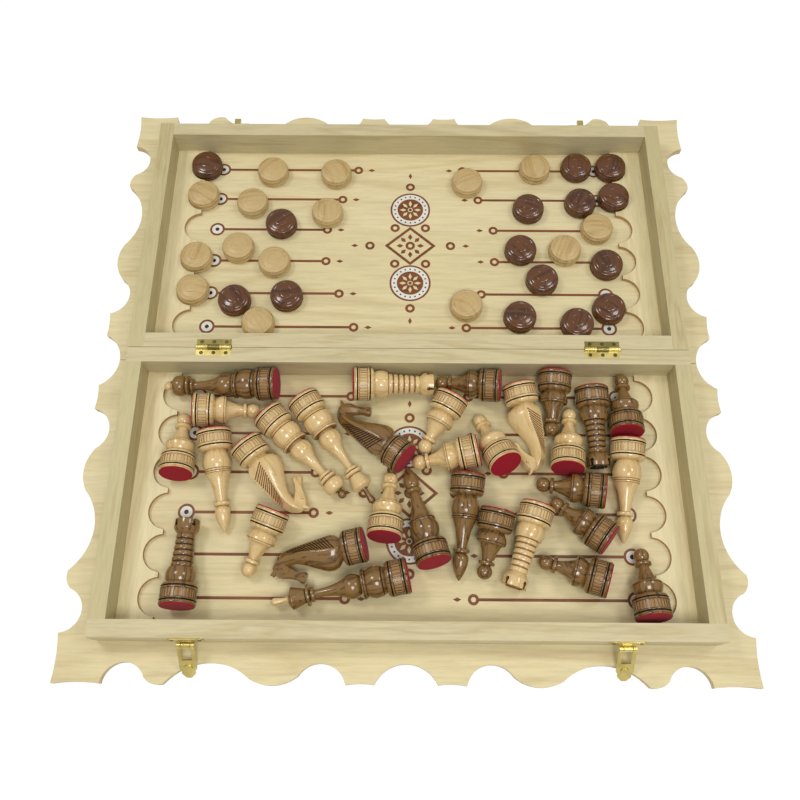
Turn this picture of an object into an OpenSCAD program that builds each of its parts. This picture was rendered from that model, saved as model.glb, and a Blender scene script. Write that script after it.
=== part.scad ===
// Hinged wooden games box for chess, draughts and backgammon, lying open flat.
// Millimetres, +Z up. X runs along the hinge line and Y away from the front tray.
// The origin is the middle of the hinge line on the surface that the box lies on.

/* [Case] */
// Width of the frames across their side rails
case_w = 500; // [500:5:600]
// Depth of each frame from the hinge line to its outer rail
half_d = 250; // [250:5:300]
// Thickness of the rails
rail_t = 14; // [10:1:14]
// Height of the rails above the boards
rail_h = 28; // [28:1:45]
// Thickness of the planked boards
board_t = 7; // [6:0.5:12]
// Gap between the two halves at the hinge line, and between their rims when shut
half_gap = 0.5; // [0.3:0.1:1]

/* [Scalloped edge] */
// Overhang of the boards past the rails at the tops of the scallops
overhang = 33; // [30:1:45]
// Depth of the scallops
scallop_d = 17; // [8:1:20]

/* [Nests] */
// Distance between the backgammon points
point_pitch = 36; // [34:0.5:36.5]
// Thickness of the nest strips
strip_t = 4; // [3:0.5:8]
// Depth of the nests from the open edge of a strip
nest_d = 14.6; // [12:0.2:15]
// Width of the nest strips
strip_w = 30; // [26:1:31]

/* [Inlay] */
// Thickness of the thin inlay on the tray floors
inlay_t = 0.15; // [0.1:0.01:0.2]
// Width of the inlaid lines
line_w = 2.5; // [1.5:0.1:3]
// Distance of the bullseyes from the middle
target_x = 189; // [180:1:190]
// Side of a square of the chessboard outside
square_w = 48; // [40:1:55]
// Depth of the chessboard squares
square_t = 0.8; // [0.5:0.1:1.5]

/* [Draughts] */
// Diameter of a draught
draught_d = 31; // [26:0.5:31]
// Height of a draught
draught_h = 12.5; // [9:0.5:14]
// Clearance of a draught in its nest
nest_gap = 0.5; // [0.3:0.1:0.8]

/* [Chessmen] */
// Diameter of the chessmen's bases
base_d = 30; // [28:0.5:30]
// Height of the base drums
drum_h = 18; // [17:0.5:19]
// Height of the pawns
pawn_h = 58; // [54:1:59]
// Height of the rooks
rook_h = 71; // [68:1:72]
// Height of the knights
knight_h = 78; // [76:1:82]
// Height of the bishops
bishop_h = 89; // [84:1:90]
// Height of the queens with their finials
queen_h = 102; // [96:1:103]
// Height of the kings with their finials
king_h = 114; // [108:1:115]
// Thickness of the felt under a chessman
felt_t = 0.8; // [0.5:0.1:1.2]
// Clearance of the loose men above the boards
lay_gap = 0.4; // [0.4:0.1:1]

/* [Hinges] */
// Distance of the hinges and latches from the middle
fitting_x = 173; // [150:1:200]
// Length of a hinge
hinge_w = 31; // [24:1:40]
// Reach of a hinge leaf from the pin
leaf_reach = 8; // [7:0.5:9]
// Thickness of a hinge leaf
leaf_t = 1.2; // [0.8:0.1:1.5]
// Diameter of the hinge knuckles
knuckle_d = 4.6; // [4:0.2:5]
// Diameter of the hinge pins
pin_d = 2; // [1.5:0.1:2.4]
// Clearance of a pin in its bore, on the radius
pin_gap = 0.05; // [0.03:0.01:0.08]

/* [Latches] */
// Width of a latch plate
plate_w = 29; // [26:1:34]
// Thickness of the latch plates
plate_t = 1; // [0.8:0.1:1.2]
// Width of a hasp
hasp_w = 14; // [12:1:16]
// Length of a hasp from its pivot
hasp_l = 32; // [30:1:33]
// Thickness of a hasp
hasp_t = 1.2; // [0.8:0.1:1.5]
// Diameter of the latch knuckles
latch_knuckle_d = 4.8; // [4.4:0.2:5.4]
// Diameter of the latch pins
latch_pin_d = 1.8; // [1.4:0.1:2.2]
// Depth of the latch pivot below the rim
pivot_drop = 9; // [8:0.5:10]

/* [Hidden] */
$fn = 96;
EPS = 0.01;

LIGHT_WOOD = "burlywood";
DARK_WOOD = "saddlebrown";
CASE_WOOD = "wheat";
BRASS = "darkkhaki";
FELT = "darkred";

FRONT = -1;
REAR = 1;
LEFT = -1;
RIGHT = 1;

floor_z = board_t;
rim_z = board_t + rail_h;
axis_z = rim_z + half_gap / 2;
rail_y = half_gap / 2;
inner_w = case_w - 2 * rail_t;
inner_y0 = rail_y + rail_t;
inner_y1 = half_d - rail_t;
tray_y = (inner_y0 + inner_y1) / 2;
draught_r = draught_d / 2;
nest_r = draught_r + nest_gap;
base_r = base_d / 2;
seat_z = floor_z + lay_gap;
pin_z = rim_z - pivot_drop;
pin_r = pin_d / 2;
knuckle_r = knuckle_d / 2;
latch_knuckle_r = latch_knuckle_d / 2;
pivot_y = half_d + plate_t + latch_knuckle_r + 1.2;

function point_y(i) = tray_y + (i - 2.5) * point_pitch;

// Places the drawing of the rear half in the front half as its mirror image.
module in_half(side) {
    if (side == FRONT) mirror([0, 1, 0]) children();
    else children();
}

// Boards with scalloped overhangs

// Scallops along one edge, from its middle outwards: middle and half width,
// as shares of the half edge, of the hollows and of the rounded lobes between.
HOLLOWS = [[0, 0.07], [0.2425, 0.0575], [0.555, 0.095], [0.7975, 0.0525]];
LOBES = [[0.38, 0.08], [0.6975, 0.0475]];
FLATS = [[0.1275, 0.0575], [0.93, 0.08]];
FLAT_DISH = 2;
HOLLOW_LAP = 0.5;

// Radius of the arc that rises by rise over a half chord.
function arc_r(half, rise) = (half * half + rise * rise) / (2 * rise);

// Cuts the scallops into an edge that runs along X at Y = 0, with the board below it.
module scallop_cuts(half_edge) {
    for (end = [-1, 1]) {
        for (hollow = HOLLOWS) {
            half = hollow[1] * half_edge + HOLLOW_LAP;
            r = arc_r(half, scallop_d / 2);
            translate([end * hollow[0] * half_edge, -scallop_d + r]) circle(r = r);
        }
        for (flat = FLATS) {
            half = flat[1] * half_edge;
            r = arc_r(half, FLAT_DISH);
            translate([end * flat[0] * half_edge, r - FLAT_DISH]) circle(r = r);
        }
    }
    for (end = [-1, 1], i = [0, 1]) {
        lobe = LOBES[i];
        half = lobe[1] * half_edge;
        r = arc_r(half, scallop_d / 2);
        translate([end * lobe[0] * half_edge, -scallop_d / 2]) difference() {
            translate([-half, 0]) square([2 * half, scallop_d / 2 + 1]);
            translate([0, scallop_d / 2 - r]) circle(r = r);
        }
    }
}

module board_outline() {
    half_x = case_w / 2 + overhang;
    edge_y = half_d + overhang;
    difference() {
        translate([-half_x, rail_y]) square([2 * half_x, edge_y - rail_y]);
        translate([0, edge_y]) scallop_cuts(half_x);
        for (end = [-1, 1]) {
            translate([end * half_x, 0]) rotate(-90 * end) scallop_cuts(edge_y);
        }
    }
}

module dark_square_plan(gap) {
    for (col = [-4:3], row = [0:3]) {
        if ((col + row) % 2 == 0) {
            translate([col * square_w + gap, rail_y + row * square_w + gap])
                square(square_w - 2 * gap);
        }
    }
}

SQUARE_GAP = 0.15;
SQUARE_INSET = 0.1;

module board(side) {
    color(CASE_WOOD) in_half(side) difference() {
        linear_extrude(board_t) board_outline();
        translate([0, 0, -1]) linear_extrude(1 + SQUARE_INSET + square_t)
            dark_square_plan(SQUARE_GAP);
    }
}

module dark_squares(side) {
    color(DARK_WOOD) in_half(side) translate([0, 0, SQUARE_INSET])
        linear_extrude(square_t) dark_square_plan(SQUARE_GAP);
}

// Frame rails, butted at the corners

module hinge_pockets() {
    for (end = [LEFT, RIGHT]) translate([end * fitting_x, 0, 0]) {
        translate([-hinge_w / 2, 0, rim_z - leaf_t]) cube([hinge_w, leaf_reach, leaf_t + 1]);
        translate([-hinge_w / 2 - 0.3, 0, axis_z]) rotate([0, 90, 0])
            cylinder(r = knuckle_r + 0.35, h = hinge_w + 0.6);
        for (i = [-1:1]) {
            translate([i * SCREW_PITCH, screw_y, rim_z - SCREW_L])
                cylinder(d = SCREW_D + SCREW_GAP, h = SCREW_L);
        }
    }
}

module long_rail(side, y, length) {
    color(CASE_WOOD) in_half(side) difference() {
        translate([-length / 2, y, floor_z]) cube([length, rail_t, rail_h]);
        hinge_pockets();
        nail_holes(side);
    }
}

module side_rail(side, end, y0, y1) {
    x = end == LEFT ? -case_w / 2 : case_w / 2 - rail_t;
    color(CASE_WOOD) in_half(side) translate([x, y0, floor_z]) cube([rail_t, y1 - y0, rail_h]);
}

// Strips with half-round nests for the draughts

module nest_strip(side, end) {
    x0 = inner_w / 2 - strip_w;
    color(CASE_WOOD) in_half(side) mirror([end == LEFT ? 1 : 0, 0, 0])
        translate([0, 0, floor_z]) linear_extrude(strip_t) difference() {
            translate([x0, inner_y0]) square([strip_w, inner_y1 - inner_y0]);
            for (i = [0:5]) {
                translate([x0 + nest_d - nest_r, point_y(i)]) circle(r = nest_r);
            }
        }
}

// Backgammon ornament on the floors, drawn flat: the part argument is its colour

ORNAMENT_X = 2;
TARGET_R = 7.3;
TARGET_WHITE_R = 5.2;
TARGET_DOT_R = 2;
RING_R = 4.6;
RING_HOLE_R = 2.1;
LOZENGE_L = 7;
LOZENGE_W = 3.6;
LOZENGE_STEP = 13.5;
ring_x = [53, 68, 82, 82, 68, 53];
MEDALLION_R = 19.8;
MEDALLION_EDGE = 1.8;
MEDALLION_DISC_R = 12.8;
MEDALLION_DOTS = 20;
MEDALLION_DOT_R = 0.9;
MEDALLION_Y = 42;
PETALS = 8;
PETAL_L = 7.2;
PETAL_W = 3.4;
DIAMOND_X = 25;
DIAMOND_Y = 22;
SIDE_RING_X = 15;
SIDE_RING_Y = 20.5;
FAR_RING_X = 39.5;
END_RING_Y = 69.5;
EIGHT = 8;
EIGHT_R = 10;
EIGHT_L = 7;
EIGHT_W = 4.4;

module ring_shape(outer, inner) {
    difference() {
        circle(r = outer);
        circle(r = inner);
    }
}

module lozenge(length, width) {
    polygon([[-length / 2, 0], [0, -width / 2], [length / 2, 0], [0, width / 2]]);
}

module medallion(part) {
    if (part == "brown") {
        ring_shape(MEDALLION_R, MEDALLION_R - MEDALLION_EDGE);
        difference() {
            circle(r = MEDALLION_DISC_R);
            for (i = [0:PETALS - 1]) {
                rotate(i * 360 / PETALS) translate([PETAL_L, 0]) lozenge(PETAL_L, PETAL_W);
            }
            ring_shape(2.6, 1.6);
        }
    }
    if (part == "white") difference() {
        ring_shape(MEDALLION_R - MEDALLION_EDGE, MEDALLION_DISC_R);
        medallion("blue");
    }
    if (part == "blue") {
        for (i = [0:MEDALLION_DOTS - 1]) {
            rotate(i * 360 / MEDALLION_DOTS)
                translate([(MEDALLION_R - MEDALLION_EDGE + MEDALLION_DISC_R) / 2, 0])
                    circle(r = MEDALLION_DOT_R);
        }
    }
}

module point_line(i, end) {
    ring = end * ring_x[i] + ORNAMENT_X;
    translate([ring, point_y(i)]) ring_shape(RING_R, RING_HOLE_R);
    translate([ring - end * LOZENGE_STEP, point_y(i)]) lozenge(LOZENGE_L, LOZENGE_W);
    translate([end * target_x, point_y(i)]) ring_shape(TARGET_R, TARGET_WHITE_R);
    from = min(end * (target_x - TARGET_R + 0.5), ring + end * (RING_R - 0.5));
    to = max(end * (target_x - TARGET_R + 0.5), ring + end * (RING_R - 0.5));
    translate([from, point_y(i) - line_w / 2]) square([to - from, line_w]);
}

module diamond() {
    difference() {
        lozenge(2 * DIAMOND_X, 2 * DIAMOND_Y);
        lozenge(2 * DIAMOND_X - 3.2 * line_w, 2 * DIAMOND_Y - 2.8 * line_w);
    }
    ring_shape(RING_R, RING_HOLE_R);
    for (i = [0:EIGHT - 1]) {
        rotate(i * 360 / EIGHT) translate([i % 2 == 0 ? EIGHT_R : EIGHT_R - 0.5, 0])
            lozenge(EIGHT_L, EIGHT_W);
    }
}

module ornament(part) {
    for (end = [LEFT, RIGHT], i = [0:5]) {
        if (part == "brown") point_line(i, end);
        if (part == "white") translate([end * target_x, point_y(i)])
            ring_shape(TARGET_WHITE_R, TARGET_DOT_R);
        if (part == "blue") translate([end * target_x, point_y(i)]) circle(r = TARGET_DOT_R);
    }
    translate([ORNAMENT_X, tray_y]) {
        for (way = [-1, 1]) {
            translate([0, way * MEDALLION_Y]) medallion(part);
            if (part == "brown") {
                translate([0, way * END_RING_Y]) ring_shape(RING_R, RING_HOLE_R);
                translate([0, way * (END_RING_Y + LOZENGE_STEP)]) lozenge(LOZENGE_W, LOZENGE_L);
                translate([way * FAR_RING_X, 0]) ring_shape(RING_R, RING_HOLE_R);
                translate([way * (FAR_RING_X + 15), 0]) lozenge(LOZENGE_L, LOZENGE_W);
                for (up = [-1, 1]) {
                    translate([way * SIDE_RING_X, up * SIDE_RING_Y]) ring_shape(RING_R, RING_HOLE_R);
                }
            }
        }
        if (part == "brown") diamond();
    }
}

module inlay(side, part) {
    tone = part == "brown" ? "brown" : part == "white" ? "white" : "navy";
    color(tone) in_half(side) translate([0, 0, floor_z]) linear_extrude(inlay_t) ornament(part);
}

// Brass butt hinges, let into the rims

KNUCKLE_GAP = 0.25;
SCREW_PITCH = 11;
SCREW_D = 1.8;
SCREW_GAP = 0.1;
SCREW_HEAD_D = 3.4;
SCREW_HEAD_H = 0.6;
SCREW_L = 9;
leaf_y = knuckle_r + 0.4;
screw_y = (leaf_y + leaf_reach) / 2;

// A leaf drawn on the rear side of the pin, with knuckles over the spans in X.
module leaf(spans) {
    difference() {
        union() {
            translate([-hinge_w / 2, leaf_y, rim_z - leaf_t])
                cube([hinge_w, leaf_reach - leaf_y, leaf_t]);
            for (span = spans) {
                translate([span[0], 0, rim_z - leaf_t]) cube([span[1] - span[0], leaf_y, leaf_t]);
                translate([span[0], 0, axis_z]) rotate([0, 90, 0])
                    cylinder(r = knuckle_r, h = span[1] - span[0]);
            }
        }
        translate([-hinge_w, 0, axis_z]) rotate([0, 90, 0])
            cylinder(r = pin_r + pin_gap, h = 2 * hinge_w);
        for (i = [-1:1]) translate([i * SCREW_PITCH, screw_y, rim_z]) {
            translate([0, 0, -leaf_t - 1]) cylinder(d = SCREW_D + SCREW_GAP, h = leaf_t + 2);
            translate([0, 0, -SCREW_HEAD_H]) cylinder(d = SCREW_HEAD_D + SCREW_GAP, h = 2);
        }
    }
}

module hinge_leaf(side, end) {
    third = hinge_w / 6;
    spans = side == REAR ? [[-third + KNUCKLE_GAP / 2, third - KNUCKLE_GAP / 2]]
        : [[-hinge_w / 2, -third - KNUCKLE_GAP / 2], [third + KNUCKLE_GAP / 2, hinge_w / 2]];
    color(BRASS) in_half(side) translate([end * fitting_x, 0, 0]) leaf(spans);
}

module hinge_pin(end) {
    color(BRASS) translate([end * fitting_x - hinge_w / 2, 0, axis_z]) rotate([0, 90, 0])
        cylinder(r = pin_r, h = hinge_w);
}

module hinge_screws(side) {
    color(BRASS) in_half(side) for (end = [LEFT, RIGHT], i = [-1:1]) {
        translate([end * fitting_x + i * SCREW_PITCH, screw_y, rim_z]) {
            translate([0, 0, -SCREW_L]) cylinder(d = SCREW_D, h = SCREW_L);
            difference() {
                translate([0, 0, -SCREW_HEAD_H]) cylinder(d = SCREW_HEAD_D, h = SCREW_HEAD_H);
                translate([-SCREW_HEAD_D, -0.25, -0.3]) cube([2 * SCREW_HEAD_D, 0.5, 1]);
            }
        }
    }
}

// Brass latches on the outer rails, drawn on a rail whose face looks along +Y

PLATE_H = 11;
PLATE_TOP = 2;
LATCH_KNUCKLE_W = 7;
WINDOW_W = 8;
WINDOW_L = 10;
WINDOW_FROM = 4.5;
TAB_KNOB_D = 7;
NAIL_X = 11;
NAIL_D = 1.2;
NAIL_GAP = 0.1;
NAIL_HEAD_D = 2.6;
NAIL_HEAD_H = 0.5;
NAIL_L = 8;
LUG_W = 6;
LUG_H = 2.8;
LUG_OUT = 6;
CATCH_H = 13;
CATCH_DROP = 0.8;

// Plan of a plate in X and Z with a lobed outline, its top edge at Z = 0.
module plate_plan(height) {
    translate([-plate_w / 2 + 3, -height]) square([plate_w - 6, height]);
    for (way = [-1, 1]) {
        translate([way * (plate_w / 2 - 3.5), -height / 2]) circle(r = 3.5);
        translate([way * 4.5, -height]) circle(r = 2.2);
    }
}

module plate_solid(height, top) {
    translate([0, half_d + plate_t, top]) rotate([90, 0, 0]) linear_extrude(plate_t) difference() {
        plate_plan(height);
        for (way = [-1, 1]) translate([way * NAIL_X, -height / 2]) circle(d = NAIL_D + NAIL_GAP);
    }
}

module latch_plate(end) {
    color(BRASS) in_half(FRONT) translate([end * fitting_x, 0, 0]) difference() {
        union() {
            plate_solid(PLATE_H, rim_z - PLATE_TOP);
            translate([-LATCH_KNUCKLE_W / 2, half_d, pin_z - latch_knuckle_r])
                cube([LATCH_KNUCKLE_W, pivot_y - half_d, latch_knuckle_r]);
            translate([-LATCH_KNUCKLE_W / 2, pivot_y, pin_z]) rotate([0, 90, 0])
                cylinder(r = latch_knuckle_r, h = LATCH_KNUCKLE_W);
        }
        translate([-hasp_w, pivot_y, pin_z]) rotate([0, 90, 0])
            cylinder(d = latch_pin_d + 2 * pin_gap, h = 2 * hasp_w);
    }
}

module latch_pin(end) {
    color(BRASS) in_half(FRONT) translate([end * fitting_x - hasp_w / 2, pivot_y, pin_z])
        rotate([0, 90, 0]) cylinder(d = latch_pin_d, h = hasp_w);
}

// Flat outline of a hasp from its pivot along +Y, ending in a blunt V.
module hasp_plan() {
    difference() {
        polygon([
            [-hasp_w / 2, latch_knuckle_r / 2], [hasp_w / 2, latch_knuckle_r / 2],
            [hasp_w / 2, hasp_l - 9], [hasp_w / 2 - 1.5, hasp_l - 7.5],
            [hasp_w / 2 - 1.5, hasp_l - 4], [2, hasp_l], [-2, hasp_l],
            [-hasp_w / 2 + 1.5, hasp_l - 4], [-hasp_w / 2 + 1.5, hasp_l - 7.5],
            [-hasp_w / 2, hasp_l - 9]
        ]);
        translate([-WINDOW_W / 2, -1]) square([WINDOW_W, WINDOW_FROM + WINDOW_L + 1]);
    }
}

module hasp() {
    difference() {
        union() {
            translate([0, 0, -hasp_t / 2]) linear_extrude(hasp_t) hasp_plan();
            translate([0, hasp_l - 9.5, 0]) cylinder(d = TAB_KNOB_D, h = hasp_t / 2 + 0.8);
            for (way = [-1, 1]) {
                arm = hasp_w / 2 - WINDOW_W / 2;
                translate([way * (hasp_w + WINDOW_W) / 4 - arm / 2, 0, 0]) rotate([0, 90, 0])
                    cylinder(r = latch_knuckle_r, h = arm);
            }
        }
        translate([-hasp_w, 0, 0]) rotate([0, 90, 0])
            cylinder(d = latch_pin_d + 2 * pin_gap, h = 2 * hasp_w);
    }
}

// The open hasp leans on the edge of the board below it.
lean_y = edge_y_at(fitting_x + hasp_w / 2) - pivot_y;
lean_z = pin_z - floor_z;
hasp_lean = atan2(lean_z, lean_y) - asin((hasp_t / 2 + 0.35) / norm([lean_y, lean_z]));

// Distance of the board's scalloped front edge from the hinge line, inside the wide hollow.
function edge_y_at(x) =
    let (half_x = case_w / 2 + overhang)
    let (r = arc_r(HOLLOWS[2][1] * half_x + HOLLOW_LAP, scallop_d / 2))
    let (dx = x - HOLLOWS[2][0] * half_x)
    half_d + overhang - scallop_d + r - sqrt(r * r - dx * dx);

module latch_hasp(end) {
    color(BRASS) in_half(FRONT) translate([end * fitting_x, pivot_y, pin_z])
        rotate([-hasp_lean, 0, 0]) hasp();
}

module latch_catch(end) {
    color(BRASS) in_half(REAR) translate([end * fitting_x, 0, 0]) {
        plate_solid(CATCH_H, rim_z - CATCH_DROP);
        translate([-LUG_W / 2, half_d + plate_t - EPS, rim_z - CATCH_DROP - LUG_H])
            cube([LUG_W, LUG_OUT, LUG_H]);
    }
}

function nail_z(side) = side == FRONT ? rim_z - PLATE_TOP - PLATE_H / 2
    : rim_z - CATCH_DROP - CATCH_H / 2;

module nail_holes(side) {
    for (end = [LEFT, RIGHT], way = [-1, 1]) {
        translate([end * fitting_x + way * NAIL_X, half_d - NAIL_L, nail_z(side)])
            rotate([-90, 0, 0]) cylinder(d = NAIL_D + NAIL_GAP, h = NAIL_L + 1);
    }
}

module latch_nails(side) {
    color(BRASS) in_half(side) for (end = [LEFT, RIGHT], way = [-1, 1]) {
        translate([end * fitting_x + way * NAIL_X, half_d + plate_t, nail_z(side)])
            rotate([-90, 0, 0]) {
                cylinder(d = NAIL_HEAD_D, h = NAIL_HEAD_H);
                translate([0, 0, EPS - NAIL_L]) cylinder(d = NAIL_D, h = NAIL_L);
            }
    }
}

// Turned draughts

// Places in the rear tray, from the middle of the tray; a seat in a nest is [side, point].
LIGHT_NESTS = [[LEFT, 1], [LEFT, 2], [LEFT, 4]];
DARK_NESTS = [[LEFT, 5], [RIGHT, 5], [RIGHT, 4]];
LIGHT_SPOTS = [
    [-137, 83], [-73, 81], [-155, 45], [-80, 34], [-165, -7], [-129, -23],
    [-140, -89], [59, 71], [128, 88], [185, 17], [152, -8], [55, -69]
];
DARK_SPOTS = [
    [-125, 21], [-164, -65], [-115, -60], [170, 90], [119, 40], [171, 47],
    [109, -8], [128, -41], [191, -24], [105, -81], [158, -88], [189, -72]
];

module draught() {
    rotate_extrude() difference() {
        union() {
            square([draught_r, draught_h * 0.34]);
            square([draught_r - 1.2, draught_h * 0.6]);
            intersection() {
                translate([0, draught_h * 0.42]) square([draught_r - 0.5, draught_h * 0.58]);
                translate([0, draught_h - 2 * draught_r]) circle(r = 2 * draught_r);
            }
        }
        for (groove = [0.68, 0.4]) {
            r = draught_r * groove;
            dome = sqrt(4 * draught_r * draught_r - r * r) + draught_h - 2 * draught_r;
            translate([r, dome + 0.15]) circle(r = 0.6);
        }
    }
}

module draughts(nests, spots, tone) {
    nest_x = inner_w / 2 - strip_w + nest_d - nest_r;
    color(tone) {
        for (nest = nests) translate([nest[0] * nest_x, point_y(nest[1]), seat_z]) draught();
        for (spot = spots) translate([spot[0], tray_y + spot[1], seat_z]) draught();
    }
}

// Turned chessmen, drawn upright on their axes and laid down in the front tray

EDGE_RING = 2.6;
BLACK_RING = 0.9;
BAND = 7.6;
ring_top = drum_h - 3.2;

// Half sections: X is the radius and Y the height.
module drum_section() {
    polygon([
        [0, 0], [base_r, 0], [base_r, EDGE_RING], [base_r - 0.6, EDGE_RING],
        [base_r - 0.6, EDGE_RING + BLACK_RING], [base_r, EDGE_RING + BLACK_RING],
        [base_r, EDGE_RING + BLACK_RING + 1], [base_r - 0.4, EDGE_RING + BLACK_RING + 1],
        [base_r - 0.4, EDGE_RING + BLACK_RING + 1 + BAND],
        [base_r, EDGE_RING + BLACK_RING + 1 + BAND], [base_r, ring_top - BLACK_RING],
        [base_r - 0.6, ring_top - BLACK_RING], [base_r - 0.6, ring_top],
        [base_r - 0.2, ring_top], [base_r - 3.5, drum_h], [0, drum_h]
    ]);
}

module disc_section(s, h, r) {
    translate([0, s]) square([r - h / 4, h]);
    translate([0, s + h / 4]) square([r, h / 2]);
}

// Slice of a ball on the axis between two heights.
module ball_section(centre, r, from, to) {
    intersection() {
        translate([0, centre]) circle(r = r);
        translate([0, from]) square([r + 1, to - from]);
    }
}

module taper_section(s0, r0, s1, r1) {
    polygon([[0, s0 - EPS], [r0, s0 - EPS], [r1, s1 + EPS], [0, s1 + EPS]]);
}

BULGE_R = 13.2;
BULGE_H = 16.5;
RIM_H = 3.4;
bulge_top = drum_h + BULGE_H;
rim_top = bulge_top + RIM_H;

// Egg-shaped body and its rim, shared by the queens and kings.
module body_section(rim_r) {
    ball_section(drum_h + BULGE_H / 2, BULGE_R, drum_h - EPS, bulge_top + EPS);
    disc_section(bulge_top, RIM_H, rim_r);
}

CUP_R = 12.6;
CUP_H = 10.5;
CUP_RIM = 1.6;
PAWN_BALL_R = 6.4;
PAWN_COLLAR = 3.2;
cup_top = drum_h + CUP_H;
pawn_collar_s = pawn_h - 2 * PAWN_BALL_R - PAWN_COLLAR + 0.9;

module pawn_section() {
    drum_section();
    ball_section(cup_top - CUP_RIM, CUP_R, drum_h - EPS, cup_top - CUP_RIM);
    translate([0, cup_top - CUP_RIM - EPS]) square([CUP_R, CUP_RIM]);
    taper_section(cup_top - EPS, 9.6, pawn_collar_s, 4);
    disc_section(pawn_collar_s, PAWN_COLLAR, 7);
    ball_section(pawn_h - PAWN_BALL_R, PAWN_BALL_R, pawn_collar_s + PAWN_COLLAR - EPS, pawn_h + 1);
}

ROOK_HEAD_H = 12;
ROOK_HEAD_R = 10.4;
ROOK_RINGS = 6;
ROOK_BULGE_R = 12.4;
ROOK_BULGE_H = 12;
rook_ring_h = (rook_h - ROOK_HEAD_H - drum_h - ROOK_BULGE_H) / ROOK_RINGS;

module rook_section() {
    drum_section();
    ball_section(drum_h + ROOK_BULGE_H / 2, ROOK_BULGE_R, drum_h - EPS, drum_h + ROOK_BULGE_H);
    for (i = [0:ROOK_RINGS - 1]) {
        translate([0, drum_h + ROOK_BULGE_H + i * rook_ring_h - EPS]) {
            square([8.2 - 0.3 * i, rook_ring_h + 2 * EPS]);
            square([9.3 - 0.3 * i, rook_ring_h * 0.7]);
        }
    }
    taper_section(rook_h - ROOK_HEAD_H, 7.5, rook_h - 8, ROOK_HEAD_R);
    translate([0, rook_h - 8]) square([ROOK_HEAD_R, 8]);
}

BISHOP_COLLAR = 3.4;
BISHOP_FLAME_L = 23;
BISHOP_FLAME_R = 6.6;
BISHOP_POINT = 17.5;
BISHOP_CUP_R = 12.3;
BISHOP_CUP_RISE = 11;
BISHOP_RIM_R = 11.1;
BISHOP_SKIRT_L = 9;
bishop_collar_s = bishop_h - BISHOP_FLAME_L - BISHOP_COLLAR;

module bishop_section() {
    drum_section();
    taper_section(drum_h, 8.8, drum_h + BISHOP_CUP_RISE / 2, BISHOP_CUP_R - 1.3);
    ball_section(drum_h + BISHOP_CUP_RISE, BISHOP_CUP_R, drum_h - EPS, bulge_top + EPS);
    disc_section(bulge_top, RIM_H, BISHOP_RIM_R);
    taper_section(rim_top, BISHOP_RIM_R - 0.6, rim_top + BISHOP_SKIRT_L, 6.9);
    taper_section(rim_top + BISHOP_SKIRT_L, 6.9, bishop_collar_s, 3.8);
    disc_section(bishop_collar_s, BISHOP_COLLAR, 7);
    translate([0, bishop_h - BISHOP_POINT]) {
        intersection() {
            circle(r = BISHOP_FLAME_R);
            translate([0, BISHOP_POINT - BISHOP_FLAME_L - EPS]) square(BISHOP_FLAME_L);
        }
        polygon([
            [0, 0], [BISHOP_FLAME_R, 0], [BISHOP_FLAME_R - 0.4, BISHOP_POINT * 0.25],
            [BISHOP_FLAME_R - 1.7, BISHOP_POINT * 0.5], [BISHOP_FLAME_R - 3.8, BISHOP_POINT * 0.75],
            [0, BISHOP_POINT]
        ]);
    }
}

VASE_R = 10.2;
VASE_RISE = 8;
VASE_H = 14.5;
VASE_NECK = 25;
TALL_DISC = 3;
QUEEN_BALL_R = 9.4;
QUEEN_BALL_H = 11.5;
QUEEN_FINIAL_R = 4.6;
QUEEN_FINIAL_H = 8.6;
queen_top = queen_h - QUEEN_FINIAL_H;
queen_discs_s = queen_top - QUEEN_BALL_H - 2 * TALL_DISC - 1.6;

// Vase that narrows from the rim of a tall man to its two discs.
module vase_section(end) {
    above = VASE_H - VASE_RISE;
    ball_section(rim_top + VASE_RISE, VASE_R, rim_top - EPS, rim_top + VASE_H);
    taper_section(rim_top + VASE_H, sqrt(VASE_R * VASE_R - above * above), rim_top + VASE_NECK, 4.4);
    taper_section(rim_top + VASE_NECK, 4.4, end, 3.2);
}

module two_discs(s) {
    disc_section(s, TALL_DISC, 6.4);
    taper_section(s + TALL_DISC, 4, s + TALL_DISC + 0.8, 4);
    disc_section(s + TALL_DISC + 0.8, TALL_DISC, 9);
    taper_section(s + 2 * TALL_DISC + 0.8, 5, s + 2 * TALL_DISC + 1.6, 5);
}

module queen_section() {
    drum_section();
    body_section(12.4);
    vase_section(queen_discs_s);
    two_discs(queen_discs_s);
    ball_section(queen_top - QUEEN_BALL_H / 2, QUEEN_BALL_R, queen_top - QUEEN_BALL_H, queen_top);
}

KING_HEAD_H = 14;
KING_HEAD_R = 9.3;
KING_FINIAL_H = 15.5;
KING_FINIAL_R = 4;
king_top = king_h - KING_FINIAL_H;
king_discs_s = king_top - KING_HEAD_H - 2 * TALL_DISC - 1.6;

module king_section() {
    drum_section();
    body_section(12.4);
    vase_section(king_discs_s);
    two_discs(king_discs_s);
    taper_section(king_top - KING_HEAD_H, 6, king_top - 4, KING_HEAD_R);
    taper_section(king_top - 4, KING_HEAD_R, king_top - EPS, 5.2);
}

module queen_finial() {
    rotate_extrude() ball_section(queen_h - QUEEN_FINIAL_R, QUEEN_FINIAL_R, queen_top, queen_h + 1);
}

module king_finial() {
    rotate_extrude() {
        taper_section(king_top + EPS, KING_FINIAL_R, king_h - 1.5, 1.7);
        ball_section(king_h - 1.7, 1.7, king_h - 1.7, king_h + 1);
    }
}

module turned(kind) {
    rotate_extrude() {
        if (kind == "pawn") pawn_section();
        if (kind == "bishop") bishop_section();
        if (kind == "queen") queen_section();
        if (kind == "king") king_section();
        if (kind == "rook") rook_section();
        if (kind == "knight") drum_section();
    }
}

ROOK_SLOT_W = 2.2;
ROOK_SLOT_H = 5;
ROOK_EYE_D = 3.6;

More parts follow.
